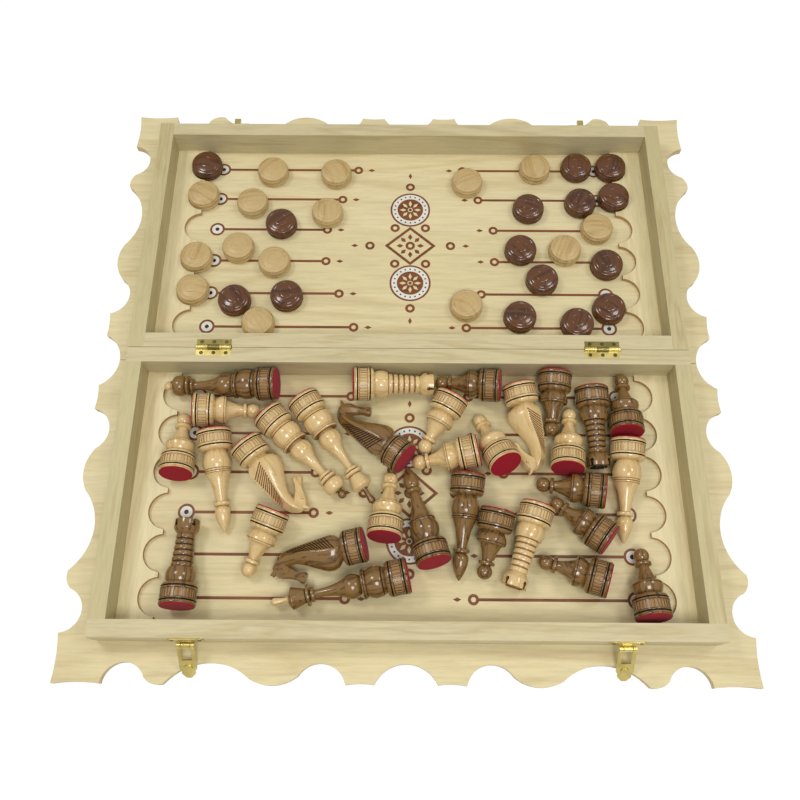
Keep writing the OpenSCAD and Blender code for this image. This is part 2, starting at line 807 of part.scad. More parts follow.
module rook() {
    difference() {
        turned("rook");
        translate([0, 0, rook_h - 3]) cylinder(r = ROOK_HEAD_R - 3.5, h = 4);
        for (turn = [0, 90]) rotate(45 + turn) {
            translate([-2 * ROOK_HEAD_R, -ROOK_SLOT_W / 2, rook_h - ROOK_SLOT_H])
                cube([4 * ROOK_HEAD_R, ROOK_SLOT_W, ROOK_SLOT_H + 1]);
            for (way = [-1, 1]) translate([0, 0, rook_h - ROOK_SLOT_H])
                rotate([0, way * 90, 0]) translate([0, 0, 7]) cylinder(d = ROOK_EYE_D, h = 9);
        }
    }
}

// Side view of the knight's neck and tucked-in head, Y towards the muzzle.
module knight_side() {
    top = knight_h;
    polygon([
        [-11, drum_h - 1], [-12.5, drum_h + 8], [-11.5, drum_h + 18], [-10.5, drum_h + 29],
        [-9.5, top - 20], [-8, top - 12], [-5.5, top - 7], [-1, top - 3], [4, top - 0.5],
        [7.5, top], [10, top - 2.5], [10.5, top - 9], [11.5, top - 13.5], [13.5, top - 17.5],
        [17, top - 20], [18, top - 23.5], [16.5, top - 26.5], [13, top - 27.5],
        [11.3, top - 24.5], [10, top - 20.5], [7.5, top - 17.5], [4.5, top - 16],
        [2, top - 17.5], [1.5, top - 21], [3, drum_h + 33], [6, drum_h + 27],
        [10.5, drum_h + 20], [14, drum_h + 14], [14, drum_h + 9], [11, drum_h - 1]
    ]);
}

module knight() {
    turned("knight");
    intersection() {
        rotate([90, 0, 90]) linear_extrude(30, center = true) knight_side();
        rotate([90, 0, 0]) linear_extrude(60, center = true) polygon([
            [-10.5, drum_h - 1], [10.5, drum_h - 1], [10.5, drum_h + 10],
            [6.5, knight_h + 1], [-6.5, knight_h + 1], [-10.5, drum_h + 10]
        ]);
        linear_extrude(knight_h) polygon([
            [-2, -13.5], [2, -13.5], [10.6, -2], [10.6, 8], [7, 19], [-7, 19], [-10.6, 8], [-10.6, -2]
        ]);
        union() {
            translate([0, 0, drum_h - 2]) cylinder(r = 13.6, h = 18);
            translate([-20, -20, drum_h + 12]) cube([40, 40, knight_h]);
        }
    }
}

// Height and radius of the point beyond the drum on which each kind comes to rest.
function rest_point(kind) =
    kind == "pawn" ? [cup_top - CUP_RIM / 2, CUP_R + 0.1]
    : kind == "rook" ? [rook_h, ROOK_HEAD_R]
    : kind == "bishop" ? [bishop_h - BISHOP_POINT, BISHOP_FLAME_R + 0.1]
    : kind == "knight" ? [knight_h, 6.6]
    : kind == "queen" ? [queen_top - QUEEN_BALL_H / 2, QUEEN_BALL_R]
    : [king_top - 4, KING_HEAD_R];

// Angle by which a lying man dips towards its head; a propped-up pawn gives its own.
function dip(kind) =
    let (reach = rest_point(kind)[0] - ring_top + BLACK_RING)
    acos(rest_point(kind)[1] / norm([base_r, reach])) - atan2(reach, base_r);

// A lying man is [x of the drum, y of the drum, way its head points], from the
// middle of the front tray. A knight adds the side that its muzzle is on, and a
// pawn whose drum is propped up on its neighbours the angle at which it dips.
LIGHT_KING = [-88, 74, -55];
LIGHT_QUEEN = [-117, 60, -46];
LIGHT_BISHOPS = [[-167, 41, -80], [190, 35, -96]];
LIGHT_KNIGHTS = [[-135, 32, -50, 1], [100, 86, -78, -1]];
LIGHT_ROOKS = [[-39, 95.5, 2], [107, -23, -109]];
LIGHT_PAWNS = [
    [-179, 70, 2], [-197, 20, 90], [-115, -29, -111], [36, 76, -119],
    [52, 32, -170], [80, 27, 113, 20], [138, 27, 83], [-18, -33, 85]
];
DARK_KING = [-8, -75, -169];
DARK_QUEEN = [-126, 95, 180];
DARK_BISHOPS = [[20, -54, 105], [51, 3, -96]];
DARK_KNIGHTS = [[-44, -50, -168, 1], [-9, 31, 142, -1]];
DARK_ROOKS = [[-184, -90, 90], [163, 83, -88]];
DARK_PAWNS = [
    [73, 95, 174], [131, 98, -96], [74, -28, -104], [191, 60, 88],
    [158, -1, 171], [160, -38, 142], [155, -74, 162], [196, -97, 93]
];

module lay(kind, place) {
    propped = kind == "pawn" && len(place) > 3;
    tilt = propped ? place[3] : dip(kind);
    lift = propped ? PAWN_BALL_R + (pawn_h - PAWN_BALL_R) * sin(tilt)
        : (ring_top - BLACK_RING) * sin(tilt) + base_r * cos(tilt);
    translate([place[0], -tray_y + place[1], seat_z + lift]) rotate([0, 0, place[2]])
        translate([-drum_h / 2 * cos(tilt), 0, 0]) rotate([0, 90 + tilt, 0])
            mirror([0, kind == "knight" && place[3] < 0 ? 1 : 0, 0]) children();
}

module men(kind, places, tone) {
    color(tone) for (place = places) lay(kind, place) {
        if (kind == "rook") rook();
        else if (kind == "knight") knight();
        else turned(kind);
    }
}

module felts(sets) {
    color(FELT) for (set = sets, place = set[1]) lay(set[0], place)
        translate([0, 0, -felt_t]) cylinder(r = base_r - 1, h = felt_t);
}

board(FRONT);  // front_board
long_rail(FRONT, inner_y1, case_w);  // front_rail
long_rail(FRONT, rail_y, case_w);  // front_hinge_rail
side_rail(FRONT, LEFT, inner_y0, inner_y1);  // front_left_side
side_rail(FRONT, RIGHT, inner_y0, inner_y1);  // front_right_side
nest_strip(FRONT, LEFT);  // front_nests_left
nest_strip(FRONT, RIGHT);  // front_nests_right
dark_squares(FRONT);  // front_dark_squares
inlay(FRONT, "brown");  // front_inlay_brown
inlay(FRONT, "white");  // front_inlay_white
inlay(FRONT, "blue");  // front_inlay_blue
board(REAR);  // rear_board
long_rail(REAR, inner_y1, inner_w);  // rear_far_rail
long_rail(REAR, rail_y, inner_w);  // rear_hinge_rail
side_rail(REAR, LEFT, rail_y, half_d);  // rear_left_side
side_rail(REAR, RIGHT, rail_y, half_d);  // rear_right_side
nest_strip(REAR, LEFT);  // rear_nests_left
nest_strip(REAR, RIGHT);  // rear_nests_right
dark_squares(REAR);  // rear_dark_squares
inlay(REAR, "brown");  // rear_inlay_brown
inlay(REAR, "white");  // rear_inlay_white
inlay(REAR, "blue");  // rear_inlay_blue
hinge_leaf(FRONT, LEFT);  // left_hinge_front_leaf
hinge_leaf(REAR, LEFT);  // left_hinge_rear_leaf
hinge_pin(LEFT);  // left_hinge_pin
hinge_leaf(FRONT, RIGHT);  // right_hinge_front_leaf
hinge_leaf(REAR, RIGHT);  // right_hinge_rear_leaf
hinge_pin(RIGHT);  // right_hinge_pin
hinge_screws(FRONT);  // hinge_screws_front
hinge_screws(REAR);  // hinge_screws_rear
latch_plate(LEFT);  // left_latch_plate
latch_hasp(LEFT);  // left_latch_hasp
latch_pin(LEFT);  // left_latch_pin
latch_catch(LEFT);  // left_latch_catch
latch_plate(RIGHT);  // right_latch_plate
latch_hasp(RIGHT);  // right_latch_hasp
latch_pin(RIGHT);  // right_latch_pin
latch_catch(RIGHT);  // right_latch_catch
latch_nails(FRONT);  // latch_nails_front
latch_nails(REAR);  // latch_nails_rear
draughts(LIGHT_NESTS, LIGHT_SPOTS, LIGHT_WOOD);  // light_draughts
draughts(DARK_NESTS, DARK_SPOTS, DARK_WOOD);  // dark_draughts
men("king", [LIGHT_KING], LIGHT_WOOD);  // light_king
men("queen", [LIGHT_QUEEN], LIGHT_WOOD);  // light_queen
men("bishop", LIGHT_BISHOPS, LIGHT_WOOD);  // light_bishops
men("knight", LIGHT_KNIGHTS, LIGHT_WOOD);  // light_knights
men("rook", LIGHT_ROOKS, LIGHT_WOOD);  // light_rooks
men("pawn", LIGHT_PAWNS, LIGHT_WOOD);  // light_pawns
men("king", [DARK_KING], DARK_WOOD);  // dark_king
men("queen", [DARK_QUEEN], DARK_WOOD);  // dark_queen
men("bishop", DARK_BISHOPS, DARK_WOOD);  // dark_bishops
men("knight", DARK_KNIGHTS, DARK_WOOD);  // dark_knights
men("rook", DARK_ROOKS, DARK_WOOD);  // dark_rooks
men("pawn", DARK_PAWNS, DARK_WOOD);  // dark_pawns
felts([  // light_felts
    ["king", [LIGHT_KING]], ["queen", [LIGHT_QUEEN]], ["bishop", LIGHT_BISHOPS],
    ["knight", LIGHT_KNIGHTS], ["rook", LIGHT_ROOKS], ["pawn", LIGHT_PAWNS]
]);
felts([  // dark_felts
    ["king", [DARK_KING]], ["queen", [DARK_QUEEN]], ["bishop", DARK_BISHOPS],
    ["knight", DARK_KNIGHTS], ["rook", DARK_ROOKS], ["pawn", DARK_PAWNS]
]);
color(LIGHT_WOOD) {  // light_finials
    lay("king", DARK_KING) king_finial();
    lay("queen", DARK_QUEEN) queen_finial();
}
color(DARK_WOOD) {  // dark_finials
    lay("king", LIGHT_KING) king_finial();
    lay("queen", LIGHT_QUEEN) queen_finial();
}
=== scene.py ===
import bpy
import math
from mathutils import Matrix, Vector


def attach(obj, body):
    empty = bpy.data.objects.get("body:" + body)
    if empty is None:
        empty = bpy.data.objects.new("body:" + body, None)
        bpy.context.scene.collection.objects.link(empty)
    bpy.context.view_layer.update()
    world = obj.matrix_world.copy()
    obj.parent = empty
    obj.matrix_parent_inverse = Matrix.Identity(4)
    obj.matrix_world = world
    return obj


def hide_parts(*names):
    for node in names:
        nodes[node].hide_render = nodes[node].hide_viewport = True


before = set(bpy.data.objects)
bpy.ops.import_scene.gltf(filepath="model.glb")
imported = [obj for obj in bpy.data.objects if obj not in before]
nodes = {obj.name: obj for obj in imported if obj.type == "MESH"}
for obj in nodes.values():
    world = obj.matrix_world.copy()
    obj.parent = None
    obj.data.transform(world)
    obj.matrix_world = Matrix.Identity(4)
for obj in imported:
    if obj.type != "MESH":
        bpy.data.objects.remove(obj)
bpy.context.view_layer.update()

# Floor, lamps and camera.
# The box lies on a plain white sheet under large soft lamps, seen from in front
# and high above, as in the photograph.
bpy.context.scene.view_settings.view_transform = "Standard"

world = bpy.data.worlds.new("studio")
bpy.context.scene.world = world
world.use_nodes = True
sky = world.node_tree
sky.nodes.clear()
sky_out = sky.nodes.new("ShaderNodeOutputWorld")
sky_mix = sky.nodes.new("ShaderNodeMixShader")
sky_soft = sky.nodes.new("ShaderNodeBackground")
sky_soft.inputs["Color"].default_value = (1.0, 0.99, 0.97, 1)
sky_soft.inputs["Strength"].default_value = 0.5
sky_seen = sky.nodes.new("ShaderNodeBackground")
sky_seen.inputs["Color"].default_value = (1, 1, 1, 1)
sky_seen.inputs["Strength"].default_value = 1.0
sky_path = sky.nodes.new("ShaderNodeLightPath")
sky.links.new(sky_path.outputs["Is Camera Ray"], sky_mix.inputs[0])
sky.links.new(sky_soft.outputs[0], sky_mix.inputs[1])
sky.links.new(sky_seen.outputs[0], sky_mix.inputs[2])
sky.links.new(sky_mix.outputs[0], sky_out.inputs["Surface"])

bpy.ops.object.select_all(action="DESELECT")
bpy.ops.mesh.primitive_plane_add(size=8, location=(0, 0, 0))
floor = bpy.context.object
floor.name = "floor"
floor_mat = bpy.data.materials.new("white sheet")
floor_mat.use_nodes = True
sheet = floor_mat.node_tree
sheet.nodes.clear()
sheet_out = sheet.nodes.new("ShaderNodeOutputMaterial")
sheet_mix = sheet.nodes.new("ShaderNodeMixShader")
sheet_paper = sheet.nodes.new("ShaderNodeBsdfDiffuse")
sheet_paper.inputs["Color"].default_value = (0.9, 0.9, 0.9, 1)
sheet_white = sheet.nodes.new("ShaderNodeEmission")
sheet_white.inputs["Strength"].default_value = 1.05
sheet_path = sheet.nodes.new("ShaderNodeLightPath")
sheet_share = sheet.nodes.new("ShaderNodeMath")
sheet_share.operation = "MULTIPLY"
sheet_share.inputs[1].default_value = 0.92
sheet.links.new(sheet_path.outputs["Is Camera Ray"], sheet_share.inputs[0])
sheet.links.new(sheet_share.outputs[0], sheet_mix.inputs[0])
sheet.links.new(sheet_paper.outputs[0], sheet_mix.inputs[1])
sheet.links.new(sheet_white.outputs[0], sheet_mix.inputs[2])
sheet.links.new(sheet_mix.outputs[0], sheet_out.inputs["Surface"])
floor.data.materials.append(floor_mat)


def lamp(name, place, aim, size, power):
    """A square soft box at a place, turned to shine at a point."""
    light = bpy.data.lights.new(name, "AREA")
    light.shape = "SQUARE"
    light.size = size
    light.energy = power
    box = bpy.data.objects.new(name, light)
    bpy.context.scene.collection.objects.link(box)
    box.location = place
    turn = (Vector(aim) - Vector(place)).to_track_quat("-Z", "Y")
    box.rotation_euler = turn.to_euler()


lamp("soft box left", (-0.9, 0.35, 1.6), aim=(0, 0, 0), size=0.4, power=7)
lamp("soft box right", (0.95, 0.25, 1.6), aim=(0, 0, 0), size=0.4, power=5)
lamp("soft box front", (0.15, -0.78, 1.35), aim=(0, -0.1, 0), size=0.5, power=9.5)

# The camera stands where the corners of the case put it in the photograph.
camera_data = bpy.data.cameras.new("camera")
camera_data.sensor_fit = "HORIZONTAL"
camera_data.sensor_width = 36
camera_data.lens = 36.25
camera_data.clip_start = 0.01
camera = bpy.data.objects.new("camera", camera_data)
bpy.context.scene.collection.objects.link(camera)
camera.matrix_world = Matrix((
    (0.99997, -0.00647, 0.00423, -0.00369),
    (0.00758, 0.92628, -0.37676, -0.31300),
    (-0.00148, 0.37678, 0.92630, 0.68240),
    (0, 0, 0, 1)))
bpy.context.scene.camera = camera


# Boards, rails and nest strips of the case.
# Planed pale softwood, the boards glued up from planks and rubbed down with a
# satin varnish; the cut edges are a little darker than the faces.
PALE_WOOD = (0.72, 0.62, 0.36, 1)
PALE_GRAIN = (0.65, 0.54, 0.295, 1)
PALE_EDGE = (0.50, 0.38, 0.18, 1)


def add_node(tree, kind, **values):
    """A shader node; each value is named after an input or a property."""
    made = tree.nodes.new(kind)
    for name, value in values.items():
        if name in made.inputs:
            made.inputs[name].default_value = value
        else:
            setattr(made, name, value)
    return made


def math_node(tree, operation, source, value=None):
    """One step of arithmetic on a socket."""
    made = add_node(tree, "ShaderNodeMath", operation=operation)
    tree.links.new(source, made.inputs[0])
    if value is not None:
        made.inputs[1].default_value = value
    return made.outputs[0]


def noise_node(tree, place, scale, detail, roughness, distortion=0.0):
    """A noise pattern read at a place."""
    noise = add_node(tree, "ShaderNodeTexNoise", Scale=scale, Detail=detail, Roughness=roughness,
                     Distortion=distortion)
    tree.links.new(place, noise.inputs["Vector"])
    return noise.outputs["Fac"]


def grey(value):
    """A plain grey, from 0 for black to 1 for white."""
    return (value, value, value, 1)


def ramp_node(tree, source, stops):
    """A colour ramp fed by source, with stops of place and colour."""
    ramp = tree.nodes.new("ShaderNodeValToRGB")
    while len(ramp.color_ramp.elements) < len(stops):
        ramp.color_ramp.elements.new(0.5)
    for element, (place, colour) in zip(ramp.color_ramp.elements, stops):
        element.position = place
        element.color = colour
    tree.links.new(source, ramp.inputs[0])
    return ramp.outputs[0]


def blend_nodes(tree, share, first, second, how="MIX"):
    """Mixes two colours by a share; each is a socket or a plain value."""
    mix = tree.nodes.new("ShaderNodeMix")
    mix.data_type = "RGBA"
    mix.blend_type = how
    for socket, value in ((mix.inputs[0], share), (mix.inputs[6], first), (mix.inputs[7], second)):
        if hasattr(value, "links"):
            tree.links.new(value, socket)
        else:
            socket.default_value = value
    return mix.outputs[2]


def vary_gloss(tree, shader, source, low, high):
    """Lets the roughness follow a pattern between two values."""
    rough = tree.nodes.new("ShaderNodeMapRange")
    rough.inputs["To Min"].default_value = low
    rough.inputs["To Max"].default_value = high
    tree.links.new(source, rough.inputs["Value"])
    tree.links.new(rough.outputs[0], shader.inputs["Roughness"])


def add_relief(tree, shader, source, strength, depth):
    """Raises a fine pattern from the surface, depth in metres."""
    relief = add_node(tree, "ShaderNodeBump", Strength=strength, Distance=depth)
    tree.links.new(source, relief.inputs["Height"])
    tree.links.new(relief.outputs[0], shader.inputs["Normal"])


ALONG_X = 0
ALONG_Y = 1
ALONG_Z = 2
GRAIN_STRETCH = 0.09
GROWTH_RINGS = 9.0
STREAK_SHARE = 0.55


def wood_grain(tree, place, pale, grain, along, stretch, fine):
    """The colour of wood with its growth rings and streaks, and its fibre pattern."""
    shape = tree.nodes.new("ShaderNodeMapping")
    scale = [stretch, stretch, stretch]
    scale[along] = stretch * GRAIN_STRETCH
    shape.inputs["Scale"].default_value = scale
    tree.links.new(place, shape.inputs["Vector"])
    broad = noise_node(tree, shape.outputs[0], scale=1.0, detail=3.0, roughness=0.5, distortion=0.6)
    fibre = noise_node(tree, shape.outputs[0], scale=fine, detail=4.0, roughness=0.65)
    rings = math_node(tree, "PINGPONG", math_node(tree, "MULTIPLY", broad, GROWTH_RINGS), 1.0)
    base = ramp_node(tree, rings, [(0.1, pale), (0.62, pale), (1.0, grain)])
    streak = ramp_node(tree, fibre, [(0.35, grey(0.78)), (0.6, grey(1))])
    return blend_nodes(tree, STREAK_SHARE, base, streak, "MULTIPLY"), fibre


PLANK_SHADE = (0.93, 0.92, 0.88, 1)
SEAM_SHADE = (0.72, 0.66, 0.55, 1)
SEAM_WIDTH = 0.008
SEAM_SHARE = 0.8


def glue_planks(tree, place, colour, width):
    """Planks side by side, each in its own shade, with a thin dark seam between them."""
    cross = tree.nodes.new("ShaderNodeSeparateXYZ")
    tree.links.new(place, cross.inputs[0])
    count = math_node(tree, "MULTIPLY", cross.outputs[1], 1 / width)
    tone = add_node(tree, "ShaderNodeTexWhiteNoise", noise_dimensions="1D")
    tree.links.new(math_node(tree, "FLOOR", count), tone.inputs["W"])
    shade = ramp_node(tree, tone.outputs["Value"], [(0.0, PLANK_SHADE), (1.0, grey(1))])
    colour = blend_nodes(tree, 1.0, colour, shade, "MULTIPLY")
    seam = ramp_node(tree, math_node(tree, "FRACT", count),
                     [(0.0, SEAM_SHADE), (SEAM_WIDTH, grey(1)), (1.0, grey(1))])
    return blend_nodes(tree, SEAM_SHARE, colour, seam, "MULTIPLY")


def colour_edges(tree, colour, edge):
    """Gives the cut edges, whose faces stand upright, their own colour."""
    facing = tree.nodes.new("ShaderNodeNewGeometry")
    split = tree.nodes.new("ShaderNodeSeparateXYZ")
    tree.links.new(facing.outputs["Normal"], split.inputs[0])
    level = math_node(tree, "ABSOLUTE", split.outputs[2])
    side = ramp_node(tree, level, [(0.3, grey(1)), (0.8, grey(0))])
    return blend_nodes(tree, side, colour, edge)


FIBRE_DEPTH = 0.0004
LACQUERED = 0.25


def timber(name, pale, grain, along, stretch, fine, gloss, bump, edge=None, planks=0, turned=False):
    """Planed wood, or wood whose grain stays as it was on the lathe. A low gloss is lacquered."""
    made = bpy.data.materials.new(name)
    made.use_nodes = True
    tree = made.node_tree
    shader = tree.nodes["Principled BSDF"]
    if turned:
        place = add_node(tree, "ShaderNodeAttribute", attribute_name="turning").outputs["Vector"]
    else:
        place = tree.nodes.new("ShaderNodeTexCoord").outputs["Object"]
    colour, fibre = wood_grain(tree, place, pale, grain, along, stretch, fine)
    if planks:
        colour = glue_planks(tree, place, colour, planks)
    if edge:
        colour = colour_edges(tree, colour, edge)
    tree.links.new(colour, shader.inputs["Base Color"])
    vary_gloss(tree, shader, fibre, gloss - 0.05, gloss + 0.08)
    add_relief(tree, shader, fibre, bump, FIBRE_DEPTH)
    shader.inputs["Specular IOR Level"].default_value = 0.45
    if gloss < LACQUERED:
        shader.inputs["Coat Weight"].default_value = 0.4
        shader.inputs["Coat Roughness"].default_value = 0.07
    return made


def wear(node, made):
    """Gives a CAD node one material."""
    nodes[node].data.materials.clear()
    nodes[node].data.materials.append(made)


PLANK_WIDTH = 0.071

board_wood = timber("pale board wood", PALE_WOOD, PALE_GRAIN, ALONG_X, stretch=22, fine=16,
                    gloss=0.42, bump=0.25, edge=PALE_EDGE, planks=PLANK_WIDTH)
rail_wood_x = timber("pale rail wood along X", (0.58, 0.50, 0.29, 1), (0.51, 0.42, 0.225, 1), ALONG_X,
                     stretch=38, fine=14, gloss=0.45, bump=0.3)
rail_wood_y = timber("pale rail wood along Y", (0.52, 0.445, 0.23, 1), (0.46, 0.375, 0.18, 1), ALONG_Y,
                     stretch=38, fine=14, gloss=0.45, bump=0.3)
nest_wood = timber("pale nest strip wood", PALE_WOOD, PALE_GRAIN, ALONG_Y, stretch=30, fine=14,
                   gloss=0.42, bump=0.25, edge=(0.42, 0.25, 0.10, 1))
for half in ("front", "rear"):
    wear(half + "_board", board_wood)
    for end in ("left", "right"):
        wear(half + "_nests_" + end, nest_wood)
        wear(half + "_" + end + "_side", rail_wood_y)
for rail in ("front_rail", "front_hinge_rail", "rear_far_rail", "rear_hinge_rail"):
    wear(rail, rail_wood_x)


# Chessboard squares outside and the ornament on the tray floors.
# Dark stained squares under the boards; inside, brown, white and blue lines,
# rings and medallions laid flush in the floor and varnished over. The dots of
# the medallions are dark blue, and those near the nests are black.
square_wood = timber("stained squares", (0.15, 0.065, 0.03, 1), (0.09, 0.035, 0.015, 1), ALONG_X,
                     stretch=40, fine=16, gloss=0.4, bump=0.25)


def inlay(name, pale, grain):
    """Thin wood let into the floor."""
    return timber(name, pale, grain, ALONG_X, stretch=90, fine=16, gloss=0.45, bump=0.15)


line_wood = inlay("brown inlay", (0.205, 0.060, 0.014, 1), (0.125, 0.035, 0.009, 1))
white_wood = inlay("white inlay", (0.74, 0.72, 0.62, 1), (0.66, 0.63, 0.52, 1))
blue_wood = inlay("blue inlay", (0.04, 0.07, 0.13, 1), (0.03, 0.05, 0.09, 1))

BLUE_REACH = 0.12
BLACK_REACH = 0.13
DOT_BLACK = (0.012, 0.012, 0.012, 1)

dots = blue_wood.node_tree
dot_colour = dots.nodes["Principled BSDF"].inputs["Base Color"]
dot_blue = dot_colour.links[0].from_socket
dot_place = dots.nodes.new("ShaderNodeSeparateXYZ")
dots.links.new(dots.nodes.new("ShaderNodeTexCoord").outputs["Object"], dot_place.inputs[0])
dot_reach = math_node(dots, "ABSOLUTE", dot_place.outputs[0])
dot_share = ramp_node(dots, dot_reach, [(BLUE_REACH, grey(0)), (BLACK_REACH, grey(1))])
dots.links.new(blend_nodes(dots, dot_share, dot_blue, DOT_BLACK), dot_colour)
for half in ("front", "rear"):
    wear(half + "_dark_squares", square_wood)
    wear(half + "_inlay_brown", line_wood)
    wear(half + "_inlay_white", white_wood)
    wear(half + "_inlay_blue", blue_wood)


# Hinges, latches, screws and nails.
# Thin pressed brass, lacquered, with small scratches and a little tarnish. The
# front leaves and the latches take a brighter copy of the same brass as a painted
# highlight; the screws and nails take a duller copy.
brass = bpy.data.materials.new("pressed brass")
brass.use_nodes = True
metal = brass.node_tree
metal_shader = metal.nodes["Principled BSDF"]
metal_shader.inputs["Metallic"].default_value = 1.0
metal_place = metal.nodes.new("ShaderNodeTexCoord").outputs["Object"]
tarnish = noise_node(metal, metal_place, scale=90.0, detail=3.0, roughness=0.5)
metal_colour = ramp_node(metal, tarnish, [(0.3, (0.24, 0.19, 0.06, 1)), (0.7, (0.36, 0.30, 0.11, 1))])
metal.links.new(metal_colour, metal_shader.inputs["Base Color"])
scratch = noise_node(metal, metal_place, scale=900.0, detail=3.0, roughness=0.7)
vary_gloss(metal, metal_shader, scratch, 0.22, 0.42)
add_relief(metal, metal_shader, scratch, strength=0.08, depth=0.0001)
for end in ("left", "right"):
    for piece in ("hinge_rear_leaf", "hinge_pin", "latch_pin"):
        wear(end + "_" + piece, brass)

PAINTED_HIGHLIGHT_GAIN = 2.4
DULLER = 0.45

highlit_brass = brass.copy()
screw_brass = brass.copy()
for finish, shine in ((highlit_brass, PAINTED_HIGHLIGHT_GAIN), (screw_brass, DULLER)):
    for stop in finish.node_tree.nodes["Color Ramp"].color_ramp.elements:
        stop.color = [min(1, shine * part) for part in stop.color[:3]] + [1]
# The front leaves and the latches get the brighter copy of the brass: a painted highlight.
for end in ("left", "right"):
    for piece in ("hinge_front_leaf", "latch_plate", "latch_hasp", "latch_catch"):
        wear(end + "_" + piece, highlit_brass)
for piece in ("hinge_screws_front", "hinge_screws_rear", "latch_nails_front", "latch_nails_rear"):
    wear(piece, screw_brass)


# Draughts, turned.
# Lacquered wood discs with a low domed face, two fine grooves in it, a rounded
# edge and a foot: pale ones and reddish brown ones, loose in the rear tray or
# seated in its nests. Sizes and places are in millimetres, as in the solids.
MM = 0.001
TRAY_Y = 125.125
NEST_X = 204.6
POINT_PITCH = 36
SEAT_Z = 7.4
MID_NEST = 2.5
TURN_STEP = 1.3
GRAIN_SHIFT = (0.31, 0.17, 0.23)
SMOOTH_ANGLE = math.radians(38)
LATHE_STEPS = 64
LIGHT_NESTS = [(-1, 1), (-1, 2), (-1, 4)]
DARK_NESTS = [(-1, 5), (1, 5), (1, 4)]
LIGHT_SPOTS = [(-137, 83), (-73, 81), (-155, 45), (-80, 34), (-165, -7), (-129, -23), (-140, -89),
    (59, 71), (128, 88), (185, 17), (152, -8), (55, -69)]
DARK_SPOTS = [(-125, 21), (-164, -65), (-115, -60), (170, 90), (119, 40), (171, 47), (109, -8),
    (128, -41), (191, -24), (105, -81), (158, -88), (189, -72)]


def arc_points(x, z, r, start, end, steps):
    """Points of an arc from one angle to another, in degrees from the X direction."""
    return [(x + r * math.cos(math.radians(start + (end - start) * i / steps)),
             z + r * math.sin(math.radians(start + (end - start) * i / steps)))
            for i in range(steps + 1)]


def turn_on_lathe(name, outline, steps=LATHE_STEPS):
    """Spins an outline of radius and height about the upright axis."""
    bpy.ops.object.select_all(action="DESELECT")
    bpy.ops.mesh.primitive_plane_add(size=0.001)
    made = bpy.context.object
    made.name = name
    bpy.ops.object.mode_set(mode="EDIT")
    bpy.ops.mesh.select_mode(type="VERT")
    bpy.ops.mesh.select_all(action="SELECT")
    bpy.ops.mesh.merge(type="CENTER")
    x, z = outline[0]
    bpy.ops.transform.translate(value=(x * MM, 0, z * MM))
    for next_x, next_z in outline[1:]:
        step = ((next_x - x) * MM, 0, (next_z - z) * MM)
        bpy.ops.mesh.extrude_region_move(TRANSFORM_OT_translate={"value": step})
        x, z = next_x, next_z
    bpy.ops.mesh.select_all(action="SELECT")
    bpy.ops.mesh.spin(steps=steps, angle=2 * math.pi, center=(0, 0, 0), axis=(0, 0, 1))
    bpy.ops.mesh.select_all(action="SELECT")
    bpy.ops.mesh.remove_doubles(threshold=0.00001)
    bpy.ops.mesh.normals_make_consistent(inside=False)
    bpy.ops.object.mode_set(mode="OBJECT")
    return made


def keep_turning(made):
    """Stores where each point was on the lathe, for the grain."""
    kept = made.data.attributes.new("turning", "FLOAT_VECTOR", "POINT")
    for i, vertex in enumerate(made.data.vertices):
        kept.data[i].vector = vertex.co


def copy_of(pattern):
    """A copy of a finished pattern, with its own mesh."""
    copy = pattern.copy()
    copy.data = pattern.data.copy()
    bpy.context.scene.collection.objects.link(copy)
    return copy


def join_pieces(pieces):
    """Joins pieces into the first of them."""
    bpy.ops.object.select_all(action="DESELECT")
    for piece in pieces:
        piece.select_set(True)
    bpy.context.view_layer.objects.active = pieces[0]
    if len(pieces) > 1:
        bpy.ops.object.join()
    return pieces[0]


def place_copies(name, pattern, matrices, made_of, body, stands_for):
    """Puts copies of a pattern in their places, each with its own piece of grain, and joins them."""
    copies = []
    for i, matrix in enumerate(matrices):
        copy = copy_of(pattern)
        shift = Vector([step * i for step in GRAIN_SHIFT])
        for point in copy.data.attributes["turning"].data:
            point.vector = point.vector + shift
        copy.data.transform(matrix)
        if matrix.determinant() < 0:
            copy.data.flip_normals()
        for slot_number, each in enumerate(made_of):
            if slot_number < len(copy.data.materials):
                copy.data.materials[slot_number] = each
            else:
                copy.data.materials.append(each)
        copies.append(copy)
    whole = join_pieces(copies)
    whole.name = name
    bpy.ops.object.shade_smooth_by_angle(angle=SMOOTH_ANGLE)
    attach(whole, body)
    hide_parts(stands_for)


draught_outline = (
    [(0, 0), (13.8, 0)] + arc_points(13.9, 1.5, 1.5, -90, 60, 6)
    + arc_points(15.6, 4.0, 1.0, 220, 140, 4)
    + arc_points(13.2, 6.6, 2.2, -60, 55, 7)
    + arc_points(13.4, 9.4, 1.2, -40, 60, 5)
    + [(12.6, 10.9), (11.9, 11.1), (11.5, 10.9), (11.1, 11.15), (10.2, 11.45), (8.8, 11.8), (7, 12.1),
       (6.2, 12.2), (5.9, 12.05), (5.6, 12.25), (4, 12.4), (2.2, 12.48), (0, 12.5)])
draught_pattern = turn_on_lathe("draught pattern", draught_outline, steps=56)
keep_turning(draught_pattern)

pale_turned = timber("pale turned wood", (0.53, 0.38, 0.165, 1), (0.44, 0.29, 0.105, 1), ALONG_X,
                     stretch=60, fine=12, gloss=0.36, bump=0.12, turned=True)
red_turned = timber("reddish turned wood", (0.12, 0.041, 0.009, 1), (0.05, 0.017, 0.005, 1), ALONG_X,
                    stretch=90, fine=12, gloss=0.2, bump=0.12, turned=True)


def draught_places(nests, spots):
    """Places of the seated and the loose draughts, each turned a little further."""
    found = [(side * NEST_X, TRAY_Y + (i - MID_NEST) * POINT_PITCH) for side, i in nests]
    found += [(x, TRAY_Y + y) for x, y in spots]
    return [Matrix.Translation((x * MM, y * MM, SEAT_Z * MM)) @ Matrix.Rotation(TURN_STEP * k, 4, "Z")
            for k, (x, y) in enumerate(found)]


